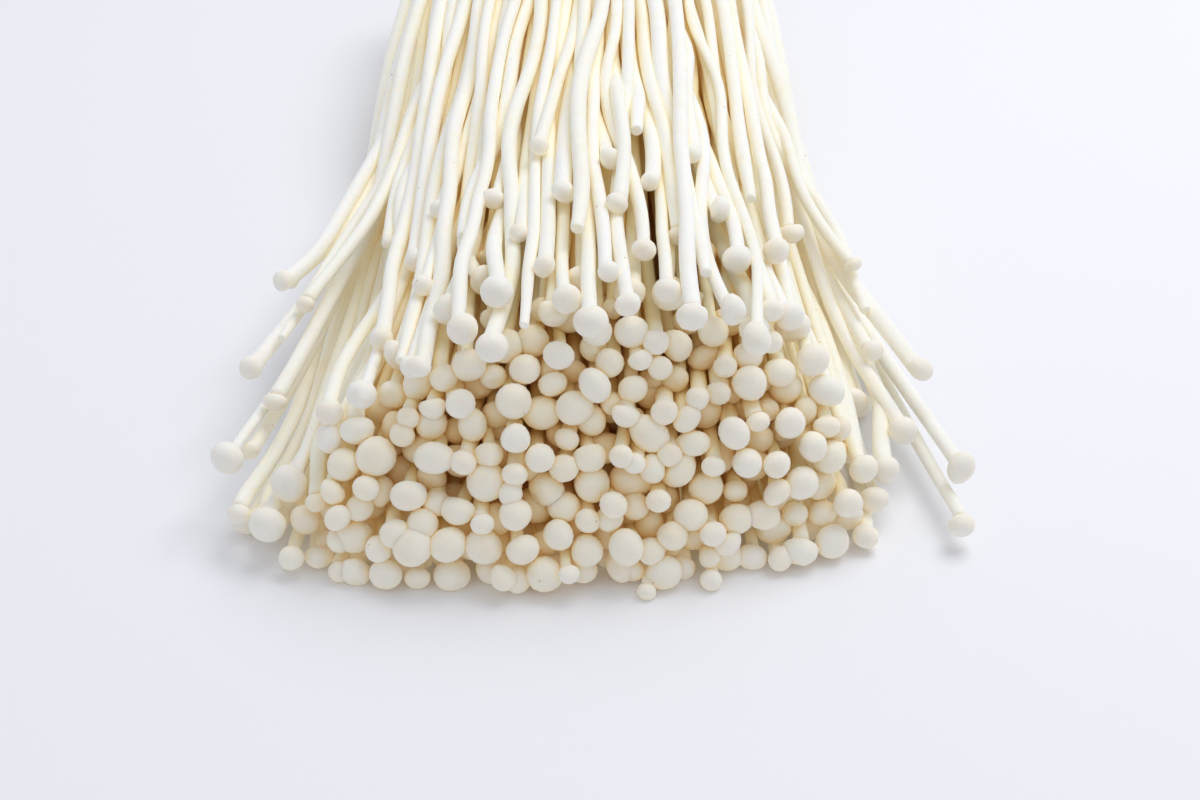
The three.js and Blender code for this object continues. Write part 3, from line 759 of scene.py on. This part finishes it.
def mushroom_mesh(m, look, sides, coarse):
    """Points, faces and what the flesh reads: depth, cap and tint, for one mushroom."""
    turn = np.arange(sides) * 2 * math.pi / sides
    radius = m["cap"]
    torn = look["kind"] == "torn"
    start, other_start = look["phase"]
    rings = smooth_through(TORN_TIP, 2) if torn else cap_outline(min(m["stem"] / radius, WIDEST_NECK))
    reach = 0.0 if torn else NECK_REACH * m["stem"]
    end = m["length"] - radius * (CAP_ABOVE - rings[0, 0]) - reach
    s = stem_stations(end, coarse)
    axis = course(m, s)
    along = unit(np.gradient(axis, axis=0))
    side, up = square_axes(along)
    waves = UNEVEN * np.sin(s / UNEVEN_LENGTH + start)
    uneven = 1 + waves + FOOT_SWELL * np.exp(-np.maximum(s, 0) / FOOT_SWELL_LENGTH)
    tearing = np.clip((s - end + TORN_LENGTH) / TORN_LENGTH, 0, 1)
    thick = m["stem"] * uneven * (1 - TORN_THIN * torn * tearing)
    oval = 1 + look["oval"] * np.cos(2 * turn + other_start)
    round_it = np.cos(turn)[None, :, None] * side[:, None] + np.sin(turn)[None, :, None] * up[:, None]
    tube = axis[:, None] + (thick[:, None] * oval)[..., None] * round_it
    lean_side, lean_up = (lean * (not torn) for lean in look["lean"])
    nod = unit(along[-1] + lean_side * side[-1] + lean_up * up[-1])
    cap_side, cap_up = square_axes(nod)
    size = thick[-1] if torn else radius
    shape = shaped_cap(rings[1:-1], turn[None, :], look) * size
    crown = shaped_cap(rings[-1:], turn[None, :1], look)[0, 0] * size
    middle = axis[-1] + nod * (reach - rings[0, 0] * size)
    basis = np.stack([cap_side, cap_up, nod])
    cap = middle + shape @ basis
    points = np.concatenate([axis[:1], tube.reshape(-1, 3), cap.reshape(-1, 3), [middle + crown @ basis]])
    points[:, 2] = np.maximum(points[:, 2], 0)  # soft flesh flattens where it lies on the table
    count = len(s) + len(shape)
    corner, next_corner = ring_corners(count, sides)
    quads = np.stack([corner, next_corner, next_corner + sides, corner + sides], -1).reshape(-1, 4)
    foot = np.stack([np.zeros(sides, int), next_corner[0], corner[0]], -1)
    tip = np.stack([corner[-1] + sides, next_corner[-1] + sides, np.full(sides, len(points) - 1)], -1)
    deep = np.concatenate([depth_in_bunch(axis), np.full(len(shape), depth_in_bunch(middle[None])[0])])
    is_cap = np.concatenate([np.zeros(len(s)), np.full(len(shape), 0.0 if torn else 1.0)])
    spread = [np.concatenate([v[:1], np.repeat(v, sides), v[-1:]]) for v in (deep, is_cap)]
    return points, quads, np.concatenate([foot, tip]), [*spread, np.full(len(points), look["tint"])]


plain_look = draw_character(Chance(SEED), False)
print("an inner mushroom has", len(mushroom_mesh(bunch[0], plain_look, **INNER_MESH)[0]), "points")

# %% Meshes with what the flesh reads
READS = ("deep", "cap", "tint")


def make_piece(name, parts):
    """One object from several mushrooms' points and faces."""
    points, quads, fans, reads, start = [], [], [], [], 0
    for part_points, part_quads, part_fans, part_reads in parts:
        points.append(part_points)
        quads.append(part_quads + start)
        fans.append(part_fans + start)
        reads.append(np.stack(part_reads))
        start += len(part_points)
    quads, fans = np.concatenate(quads), np.concatenate(fans)
    mesh = bpy.data.meshes.new(name)
    mesh.vertices.add(start)
    mesh.vertices.foreach_set("co", (np.concatenate(points) * MM).ravel())
    mesh.loops.add(quads.size + fans.size)
    mesh.loops.foreach_set("vertex_index", np.concatenate([quads.ravel(), fans.ravel()]))
    mesh.polygons.add(len(quads) + len(fans))
    starts = np.concatenate([np.arange(len(quads)) * 4, quads.size + np.arange(len(fans)) * 3])
    mesh.polygons.foreach_set("loop_start", starts)
    mesh.update(calc_edges=True)
    mesh.polygons.foreach_set("use_smooth", np.ones(len(mesh.polygons), bool))
    for label, values in zip(READS, np.concatenate(reads, 1)):
        mesh.attributes.new(label, "FLOAT", "POINT").data.foreach_set("value", values.astype(np.float32))
    piece = bpy.data.objects.new(name, mesh)
    bpy.context.scene.collection.objects.link(piece)
    return piece


def triangles(piece):
    return sum(len(p.vertices) - 2 for p in piece.data.polygons)


print("each point keeps", ", ".join(READS))

# %% [markdown]
# ## All the mushrooms
# The outer mushrooms are pieces of their own, each in the place of its own solid in the frame. The
# inner ones, which the frame holds as one solid, are gathered in tufts, as a bunch pulls apart.

# %% Make the mushrooms
LOOK_SEED = 7
TUFTS = 12
look_chance = Chance(LOOK_SEED)
looks = [draw_character(look_chance, m["broken"]) for m in bunch]
mushrooms = []
for name, m in zip(outer_names, outer):
    mesh_parts = [mushroom_mesh(m, looks[m["number"]], **OUTER_MESH)]
    piece = make_piece(name.replace("mushroom", "outer_mushroom"), mesh_parts)
    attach(piece, "root")
    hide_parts(name)
    mushrooms.append(piece)
print("outer mushrooms:", len(mushrooms), "pieces,", sum(triangles(p) for p in mushrooms), "triangles")


def tuft_of(m):
    u, v = m["place"]
    return int((math.atan2(v, u) / (2 * math.pi) % 1) * TUFTS)


for t in range(TUFTS):
    members = [m for m in inner if tuft_of(m) == t]
    mesh_parts = [mushroom_mesh(m, looks[m["number"]], **INNER_MESH) for m in members]
    piece = make_piece(f"tuft_{t + 1:02d}", mesh_parts)
    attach(piece, "root")
    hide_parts("inner_mushrooms")
    mushrooms.append(piece)
print("with the tufts:", len(mushrooms), "pieces,", sum(triangles(p) for p in mushrooms), "triangles")

# %% [markdown]
# ## The root base
# All the stems grow from one block of fused feet and white mycelium, the fungus's own web, here an
# oval. The grower slices it off behind, so that face is flat and rough, and stained tan by the bran and
# sawdust that the mushrooms fed on. Near the stems its side is ribbed by the feet of the outer
# mushrooms: as many ribs as there are feet, though not each at its own foot.

# %% Lumps that never repeat
root_depth = (root_high.y - root_low.y) / MM
SLANT = 0.35


def ripple(turn, deep, seed, count, coarse):
    """A sum of waves round the root, with no seam, for lumps of no fixed size."""
    chance = Chance(seed)
    total = 0
    for _ in range(count):
        lobes = round(chance.span(*coarse))
        along = chance.span(-lobes, lobes) * SLANT
        total = total + np.sin(lobes * turn + along * deep + chance.span(0, 2 * math.pi)) / count ** 0.5
    return total


def rubble(x, z, seed, count, shortest, longest):
    """A sum of plane waves over the flat faces, mm, in all directions, so that nothing repeats."""
    chance = Chance(seed)
    total = 0
    for _ in range(count):
        way = chance.span(0, math.pi)
        beat = 2 * math.pi / chance.span(shortest, longest)
        total = total + np.sin(beat * (x * math.cos(way) + z * math.sin(way)) + chance.span(0, 2 * math.pi))
    return total / count ** 0.5


print(f"the root is {root_depth:.1f} mm deep")

# %% The side of the root
RIB_WANDER, RIB_HEIGHT, RIB_MIDDLE = 0.8, 0.035, 0.6
RIB_FADE, RIB_FADE_POWER = 1.7, 1.2
BACK_ROUND, BACK_FROM, BACK_OVER = 0.10, 0.86, 0.14
FRONT_ROUND, FRONT_TO = 0.05, 0.08
SWELL = 0.03
BIG_LUMPS, SMALL_LUMPS = 0.016, 0.006


def root_side(turn, t):
    """Half sizes' factor at the side of the root: a soft block with ribs that fade away behind."""
    wander = RIB_WANDER * ripple(turn, t * 6, seed=3, count=5, coarse=(2, 9))
    ribs = np.abs(np.sin(turn * OUTER / 2 + wander))
    fade = np.clip(1 - RIB_FADE * t, 0, 1) ** RIB_FADE_POWER
    behind = BACK_ROUND * np.clip((t - BACK_FROM) / BACK_OVER, 0, 1) ** 2
    before = FRONT_ROUND * np.clip((FRONT_TO - t) / FRONT_TO, 0, 1) ** 2
    edge = 1 - behind - before
    swell = 1 + SWELL * np.sin(math.pi * t)
    big = BIG_LUMPS * ripple(turn, t * 8, seed=11, count=9, coarse=(3, 14))
    small = SMALL_LUMPS * ripple(turn, t * 24, seed=12, count=12, coarse=(20, 60))
    lumps = big + small
    return edge * swell + lumps + RIB_HEIGHT * (ribs - RIB_MIDDLE) * fade


def root_point(r, turn, t, relief):
    """A point of the root: r is 0 on its axis to 1 at its side, relief is how far it stands out along Y."""
    side = root_side(turn, t)
    x = ROOT_HALF_WIDTH * r * side * np.cos(turn)
    z = ROOT_HALF_HEIGHT * (1 + r * side * np.sin(turn))
    return np.stack([x + across, root_face + t * root_depth + relief, z], -1)


print("half way back its side is at", round(float(root_side(0.0, 0.5)), 2), "of the half width")

# %% The root base's mesh
ROOT_SIDES = 300
ROOT_STEPS = 46
STEM_FACE_RINGS = 24
FACE_RINGS = 60
STEM_FACE_ROUGH, STEM_FACE_STAIN = 0.35, 0.25
SIDE_STAIN, SIDE_STAIN_MORE, STAIN_FROM, STAIN_OVER = 0.1, 0.75, 0.45, 0.55
CUT_GRAIN, CUT_WAVES, CUT_SUNK, CUT_PROUD = 0.22, 0.30, 0.5, 0.45


def root_mesh():
    turn = np.arange(ROOT_SIDES) * 2 * math.pi / ROOT_SIDES
    rows, stain = [], []
    for r in np.linspace(0, 1, STEM_FACE_RINGS)[1:-1]:
        x, z = ROOT_HALF_WIDTH * r * np.cos(turn), ROOT_HALF_HEIGHT * r * np.sin(turn)
        rough = STEM_FACE_ROUGH * rubble(x, z, seed=21, count=12, shortest=4, longest=12)
        rows.append(root_point(r, turn, 0.0, rough))
        stain.append(np.full(ROOT_SIDES, STEM_FACE_STAIN))
    for t in np.linspace(0, 1, ROOT_STEPS):
        rows.append(root_point(1.0, turn, t, 0 * turn))
        more = SIDE_STAIN_MORE * smooth((t - STAIN_FROM) / STAIN_OVER)
        stain.append(np.full(ROOT_SIDES, SIDE_STAIN + more))
    for r in np.linspace(1, 0, FACE_RINGS)[1:-1]:
        x, z = ROOT_HALF_WIDTH * r * np.cos(turn), ROOT_HALF_HEIGHT * r * np.sin(turn)
        grain = CUT_GRAIN * rubble(x, z, seed=31, count=24, shortest=1.2, longest=3.5)
        waves = CUT_WAVES * rubble(x, z, seed=32, count=10, shortest=6, longest=22)
        rows.append(root_point(r, turn, 1.0, np.minimum(grain + waves, CUT_PROUD) - CUT_SUNK))
        stain.append(np.full(ROOT_SIDES, 1.0))
    rows = np.array(rows)
    rows[..., 2] = np.maximum(rows[..., 2], 0)
    front_middle = rows[0].mean(0)
    back_middle = rows[-1].mean(0)
    points = np.concatenate([[front_middle], rows.reshape(-1, 3), [back_middle]])
    corner, next_corner = ring_corners(len(rows), ROOT_SIDES)
    quads = np.stack([corner, corner + ROOT_SIDES, next_corner + ROOT_SIDES, next_corner], -1).reshape(-1, 4)
    last, after_last = corner[-1] + ROOT_SIDES, next_corner[-1] + ROOT_SIDES
    fans = np.concatenate([
        np.stack([np.zeros(ROOT_SIDES, int), corner[0], next_corner[0]], -1),
        np.stack([last, np.full(ROOT_SIDES, len(points) - 1), after_last], -1),
    ])
    stains = np.concatenate([[STEM_FACE_STAIN], np.concatenate(stain), [1.0]])
    return points, quads, fans, [stains, 0 * stains, 0 * stains]


root = make_piece("root_block", [root_mesh()])
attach(root, "root")
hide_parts("root_base")
print("root block:", triangles(root), "triangles")

# %% [markdown]
# ## Finishes
# Colours are given as sRGB hex, as a colour picker shows them, and Blender wants linear light. One
# helper turns them, and one adds a node with its settings and its links.

# %% Helpers for finishes
def colour(hex_value):
    """Linear light from an sRGB hex value, by the sRGB standard's own curve."""
    channels = [int(hex_value[i:i + 2], 16) / 255 for i in (1, 3, 5)]
    linear = [c / 12.92 if c <= 0.04045 else ((c + 0.055) / 1.055) ** 2.4 for c in channels]
    return (*linear, 1.0)


def add_node(tree, kind, settings=None, stops=(), **inputs):
    """A node of that kind. An input is a value, or another node's output to link.

    An input called _6 is the one at place 6, where names are not unique. stops fill a colour ramp."""
    node = tree.nodes.new(kind)
    for name, value in (settings or {}).items():
        setattr(node, name, value)
    while stops and len(node.color_ramp.elements) < len(stops):
        node.color_ramp.elements.new(0.5)
    for number, (place, tone) in enumerate(stops):
        node.color_ramp.elements[number].position = place
        node.color_ramp.elements[number].color = colour(tone)
    for name, value in inputs.items():
        key = int(name[1:]) if name[1:].isdigit() else name.replace("_", " ")
        if isinstance(value, bpy.types.NodeSocket):
            tree.links.new(value, node.inputs[key])
        else:
            node.inputs[key].default_value = value
    return node


def new_finish(name):
    finish = bpy.data.materials.new(name)
    finish.use_nodes = True
    finish.node_tree.nodes.clear()
    return finish, finish.node_tree


print("mid grey #808080 is", round(colour("#808080")[0], 3), "in linear light")

# %% [markdown]
# ## Enoki flesh
# The flesh is white, fine-grained and full of water, so light soaks into it and comes out again a
# millimetre away: subsurface scattering. It leaves the pearls soft, with no hard shade. The skin is matt
# with the faintest sheen, and carries a few small brown specks, as where it was touched.
#
# Subsurface scattering alone leaves the crevices darker and greyer than such flesh looks. So a node that
# measures how closed in a place is paints warm shade into the colour there, and a faint painted glow is
# added, standing in for light that comes out through the flesh. The glow is not real light, so it stays
# the same under any lamp.

# %% The flesh's colour
MIX = {"data_type": "RGBA", "blend_type": "MIX"}
TINT = {"data_type": "RGBA", "blend_type": "MULTIPLY"}
TIMES = {"operation": "MULTIPLY"}
# From outside in: partly the flesh's own creamier tone, partly painted warm shade deep in the bunch.
STEM_TONE_AND_PAINTED_SHADE = [(0.0, "#FCFBF5"), (0.25, "#FCF9EA"), (0.6, "#FBEFCC"), (1.0, "#F8DFAE")]
CAP_TONE_AND_PAINTED_SHADE = [(0.0, "#F7F4ED"), (0.35, "#F8F1E1"), (1.0, "#F5E0BC")]
# Painted warm shade, laid on where the occlusion node finds a crevice.
PAINTED_CREVICE_SHADE_TONES = [(0.0, "#FFFFFF"), (0.45, "#FFFCEF"), (1.0, "#FFECC4")]


def flesh_tone(tree, deep, painted_crevice_mask):
    """White outside, straw further in, partly own tone and partly painted shade, and painted warm shade where
    little light gets in.
    """
    cap = add_node(tree, "ShaderNodeAttribute", {"attribute_name": "cap"}).outputs["Fac"]
    stem_tone = add_node(tree, "ShaderNodeValToRGB", stops=STEM_TONE_AND_PAINTED_SHADE, Fac=deep).outputs["Color"]
    cap_tone = add_node(tree, "ShaderNodeValToRGB", stops=CAP_TONE_AND_PAINTED_SHADE, Fac=deep).outputs["Color"]
    tone = add_node(tree, "ShaderNodeMix", MIX, _0=cap, _6=stem_tone, _7=cap_tone).outputs[2]
    # Painted warm shade: the colour is tinted straw where little light gets in.
    painted_crevice_shade = add_node(tree, "ShaderNodeValToRGB", stops=PAINTED_CREVICE_SHADE_TONES, Fac=painted_crevice_mask).outputs["Color"]
    share = add_node(tree, "ShaderNodeMapRange", Value=deep, From_Max=0.5, To_Min=0.4).outputs[0]
    return add_node(tree, "ShaderNodeMix", TINT, _0=share, _6=tone, _7=painted_crevice_shade).outputs[2]


def cream_and_clouds(tree, tone, place):
    """Some mushrooms creamier than their neighbours, and soft clouds 6 mm across."""
    tint = add_node(tree, "ShaderNodeAttribute", {"attribute_name": "tint"}).outputs["Fac"]
    creamy = add_node(tree, "ShaderNodeMix", TINT, _0=1.0, _6=tone, _7=colour("#FBF1DC")).outputs[2]
    share = add_node(tree, "ShaderNodeMath", TIMES, _0=tint, _1=0.25).outputs[0]
    tone = add_node(tree, "ShaderNodeMix", MIX, _0=share, _6=tone, _7=creamy).outputs[2]
    cloud = add_node(tree, "ShaderNodeTexNoise", Vector=place, Scale=1 / (6 * MM), Detail=3.0)
    share = add_node(tree, "ShaderNodeMapRange", Value=cloud.outputs["Fac"], From_Min=0.5, From_Max=0.75,
                     To_Max=0.25).outputs[0]
    cloudy = add_node(tree, "ShaderNodeMix", TINT, _0=1.0, _6=tone, _7=colour("#F6EAD2")).outputs[2]
    return add_node(tree, "ShaderNodeMix", MIX, _0=share, _6=tone, _7=cloudy).outputs[2]


print("stems go from", STEM_TONE_AND_PAINTED_SHADE[0][1], "outside to", STEM_TONE_AND_PAINTED_SHADE[-1][1], "inside")

# %% The flesh's specks and skin
SPECK_CELL = 2.4 * MM
ONE_CELL_IN_22 = 0.955  # of the cells have no speck


def speckled(tree, tone, place):
    """Specks about 0.4 mm across, on one cell in 22."""
    cells = add_node(tree, "ShaderNodeTexVoronoi", Vector=place, Scale=1 / SPECK_CELL)
    near = add_node(tree, "ShaderNodeMapRange", Value=cells.outputs["Distance"], From_Min=0.05, From_Max=0.11,
                    To_Min=1.0, To_Max=0.0).outputs[0]
    drawn = add_node(tree, "ShaderNodeSeparateColor", Color=cells.outputs["Color"]).outputs[0]
    some = add_node(tree, "ShaderNodeMath", {"operation": "GREATER_THAN"}, _0=drawn, _1=ONE_CELL_IN_22)
    speck = add_node(tree, "ShaderNodeMath", TIMES, _0=near, _1=some.outputs[0]).outputs[0]
    faint = add_node(tree, "ShaderNodeMath", TIMES, _0=speck, _1=0.6).outputs[0]
    return add_node(tree, "ShaderNodeMix", MIX, _0=faint, _6=tone, _7=colour("#A98555")).outputs[2]


def flesh_relief(tree, place):
    """Fibres 0.4 mm across that run along the stems, and soft dents of 1.6 mm."""
    drawn_out = add_node(tree, "ShaderNodeMapping", Vector=place, Scale=(1.0, 0.06, 1.0)).outputs[0]
    fibres = add_node(tree, "ShaderNodeTexNoise", Vector=drawn_out, Scale=1 / (0.4 * MM), Detail=2.0)
    dents = add_node(tree, "ShaderNodeTexNoise", Vector=place, Scale=1 / (1.6 * MM), Detail=3.0)
    height = add_node(tree, "ShaderNodeMath", {"operation": "MULTIPLY_ADD"}, _0=dents.outputs["Fac"], _1=4.0,
                      _2=fibres.outputs["Fac"]).outputs[0]
    bump = add_node(tree, "ShaderNodeBump", Strength=0.5, Distance=0.06 * MM, Height=height)
    return bump.outputs["Normal"]


print(f"specks lie in cells of {SPECK_CELL / MM:.1f} mm")

# %% Enoki flesh, matt
# Painted glow: an emission in the crevices of the flesh, which is no lamp.
PAINTED_GLOW = 0.10
PAINTED_GLOW_TONES = [(0.0, "#FFFAE6"), (0.3, "#CDA868"), (0.55, "#6E4720"), (1.0, "#2A180A")]


def enoki_flesh():
    finish, tree = new_finish("enoki flesh, matt and moist")
    deep = add_node(tree, "ShaderNodeAttribute", {"attribute_name": "deep"}).outputs["Fac"]
    place = add_node(tree, "ShaderNodeTexCoord").outputs["Object"]
    crevice = add_node(tree, "ShaderNodeAmbientOcclusion", {"samples": 8}, Distance=6 * MM)
    # How closed in a place is: the mask of the painted crevice shade and of the painted glow.
    painted_crevice_mask = add_node(tree, "ShaderNodeMapRange", Value=crevice.outputs["AO"], From_Min=0.1, From_Max=0.75,
                    To_Min=1.0, To_Max=0.0).outputs[0]
    tone = cream_and_clouds(tree, flesh_tone(tree, deep, painted_crevice_mask), place)
    # The painted glow, which stands in for light coming out through the flesh, is strongest near the outside
    # of the bunch.
    through = add_node(tree, "ShaderNodeValToRGB", stops=PAINTED_GLOW_TONES, Fac=deep).outputs["Color"]
    glow = add_node(tree, "ShaderNodeMix", MIX, _0=painted_crevice_mask, _6=colour("#000000"), _7=through).outputs[2]
    skin = add_node(
        tree, "ShaderNodeBsdfPrincipled", Base_Color=speckled(tree, tone, place), Roughness=0.55, IOR=1.38,
        Normal=flesh_relief(tree, place), Emission_Color=glow, Emission_Strength=PAINTED_GLOW,
        Subsurface_Weight=0.6, Subsurface_Radius=(1.0, 0.8, 0.6), Subsurface_Scale=1.2 * MM,
        Specular_IOR_Level=0.35)
    add_node(tree, "ShaderNodeOutputMaterial", Surface=skin.outputs["BSDF"])
    return finish


flesh = enoki_flesh()
for piece in mushrooms:
    piece.data.materials.append(flesh)
print("finish:", flesh.name)

# %% [markdown]
# ## Mycelium and the cut
# The root block is the same fungus, but a felt of threads in place of smooth skin, so it is duller and
# a little creamier. Behind, the cut shows tan crumbs of the bran it grew on, pressed into the felt.

# %% The felt's colour, with bran crumbs
FELT_TONES = [(0.0, "#F7F0DC"), (0.45, "#F0E4C6"), (0.75, "#DCC69A"), (1.0, "#CBB084")]


def felt_tone(tree, stain, place):
    """Cream to tan as the stain grows, with paler patches about 7 mm across."""
    tone = add_node(tree, "ShaderNodeValToRGB", stops=FELT_TONES, Fac=stain).outputs["Color"]
    patches = add_node(tree, "ShaderNodeTexNoise", Vector=place, Scale=1 / (7 * MM), Detail=4.0,
                       Roughness=0.6)
    pale = add_node(tree, "ShaderNodeMapRange", Value=patches.outputs["Fac"], From_Min=0.42, From_Max=0.62,
                    To_Max=0.8).outputs[0]
    share = add_node(tree, "ShaderNodeMath", TIMES, _0=pale, _1=stain).outputs[0]
    return add_node(tree, "ShaderNodeMix", MIX, _0=share, _6=tone, _7=colour("#F1E7CF")).outputs[2]


def bran_crumbs(tree, stain, place):
    """1 on a crumb of bran, about 1 mm across, and only where the block met its feed."""
    cells = add_node(tree, "ShaderNodeTexVoronoi", Vector=place, Scale=1 / (1.5 * MM))
    near = add_node(tree, "ShaderNodeMapRange", Value=cells.outputs["Distance"], From_Min=0.22, From_Max=0.42,
                    To_Min=1.0, To_Max=0.0).outputs[0]
    drawn = add_node(tree, "ShaderNodeSeparateColor", Color=cells.outputs["Color"]).outputs[0]
    some = add_node(tree, "ShaderNodeMapRange", Value=drawn, From_Min=0.62, From_Max=0.7).outputs[0]
    crumb = add_node(tree, "ShaderNodeMath", TIMES, _0=near, _1=some).outputs[0]
    where = add_node(tree, "ShaderNodeMapRange", Value=stain, From_Min=0.5, From_Max=1.0, To_Max=0.85)
    return add_node(tree, "ShaderNodeMath", TIMES, _0=crumb, _1=where.outputs[0]).outputs[0]


print("the felt goes from", FELT_TONES[0][1], "at the stems to", FELT_TONES[-1][1], "at the cut")

# %% Mycelium felt, stained by bran
def mycelium_felt():
    finish, tree = new_finish("mycelium felt, stained by bran")
    stain = add_node(tree, "ShaderNodeAttribute", {"attribute_name": "deep"}).outputs["Fac"]
    place = add_node(tree, "ShaderNodeTexCoord").outputs["Object"]
    crumb = bran_crumbs(tree, stain, place)
    tone = felt_tone(tree, stain, place)
    tone = add_node(tree, "ShaderNodeMix", MIX, _0=crumb, _6=tone, _7=colour("#8E6A3E")).outputs[2]
    # The felt's threads and pores, about 0.5 mm.
    felt = add_node(tree, "ShaderNodeTexNoise", Vector=place, Scale=1 / (0.5 * MM), Detail=4.0, Roughness=0.7)
    height = add_node(tree, "ShaderNodeMath", {"operation": "ADD"}, _0=felt.outputs["Fac"], _1=crumb)
    bump = add_node(tree, "ShaderNodeBump", Strength=0.6, Distance=0.35 * MM, Height=height.outputs[0])
    skin = add_node(
        tree, "ShaderNodeBsdfPrincipled", Base_Color=tone, Roughness=0.85, IOR=1.4,
        Normal=bump.outputs["Normal"], Subsurface_Weight=0.25, Subsurface_Radius=(1.0, 0.72, 0.42),
        Subsurface_Scale=1.0 * MM)
    add_node(tree, "ShaderNodeOutputMaterial", Surface=skin.outputs["BSDF"])
    return finish


root.data.materials.append(mycelium_felt())
print("finish:", root.data.materials[0].name)

# %% [markdown]
# ## The table, the light and the camera
# A plain pale table fades into an equally pale room. The light is one big soft lamp, high up on the
# right and a little behind the bunch, as from a window. The pale room fills in from all round.

# %% Table
TABLE_HALF = 3.0  # metres, so that its edges are far away


def pale_table():
    finish, tree = new_finish("pale matt table")
    skin = add_node(tree, "ShaderNodeBsdfPrincipled", Base_Color=colour("#F4F5FA"), Roughness=0.9)
    add_node(tree, "ShaderNodeOutputMaterial", Surface=skin.outputs["BSDF"])
    return finish


table_mesh = bpy.data.meshes.new("table")
corners = [(x * TABLE_HALF, y * TABLE_HALF, 0) for x, y in ((-1, -1), (1, -1), (1, 1), (-1, 1))]
table_mesh.from_pydata(corners, [], [(0, 1, 2, 3)])
table = bpy.data.objects.new("table", table_mesh)
bpy.context.scene.collection.objects.link(table)
table_mesh.materials.append(pale_table())
print("table:", 2 * TABLE_HALF, "m across")

# %% Light, metres and watts
ROOM_STRENGTH = 0.68
LAMP_POWER = 2.2
LAMP_PLACE, LAMP_AIM = (0.24, 0.16, 0.66), (0, 0, 0.02)
LAMP_ACROSS = 0.5


def pale_room():
    room = bpy.data.worlds.new("pale room")
    bpy.context.scene.world = room
    room.use_nodes = True
    room.node_tree.nodes.clear()
    glow = add_node(room.node_tree, "ShaderNodeBackground", Color=colour("#F4F6FB"), Strength=ROOM_STRENGTH)
    add_node(room.node_tree, "ShaderNodeOutputWorld", Surface=glow.outputs[0])


def soft_lamp(name, place, aim, across_it, power):
    lamp_data = bpy.data.lights.new(name, "AREA")
    lamp_data.shape = "DISK"
    lamp_data.size = across_it
    lamp_data.energy = power
    lamp = bpy.data.objects.new(name, lamp_data)
    bpy.context.scene.collection.objects.link(lamp)
    lamp.location = place
    lamp.rotation_euler = (Vector(aim) - Vector(place)).to_track_quat("-Z", "Y").to_euler()


pale_room()
soft_lamp("window", LAMP_PLACE, LAMP_AIM, LAMP_ACROSS, LAMP_POWER)
bpy.context.scene.view_settings.view_transform = "Standard"
print("lamp:", LAMP_POWER, "W, at", LAMP_PLACE)

# %% Camera, mm
CAMERA_HEIGHT = 270
CAMERA_AWAY = 288
CAMERA_ASIDE = 3
LOOKING_DOWN = 38  # degrees
LENS, SENSOR = 70, 36
NEAREST_SEEN = 0.01  # metres
camera_data = bpy.data.cameras.new("camera")
camera_data.lens = LENS
camera_data.sensor_width = SENSOR
camera_data.clip_start = NEAREST_SEEN
camera = bpy.data.objects.new("camera", camera_data)
bpy.context.scene.collection.objects.link(camera)
caps_y = root_face - STEM_LENGTH
camera.location = ((across + CAMERA_ASIDE) * MM, (caps_y - CAMERA_AWAY) * MM, CAMERA_HEIGHT * MM)
camera.rotation_euler = (math.radians(90 - LOOKING_DOWN), 0, 0)
bpy.context.scene.camera = camera
print("camera:", LENS, "mm lens, looking", LOOKING_DOWN, "degrees down")
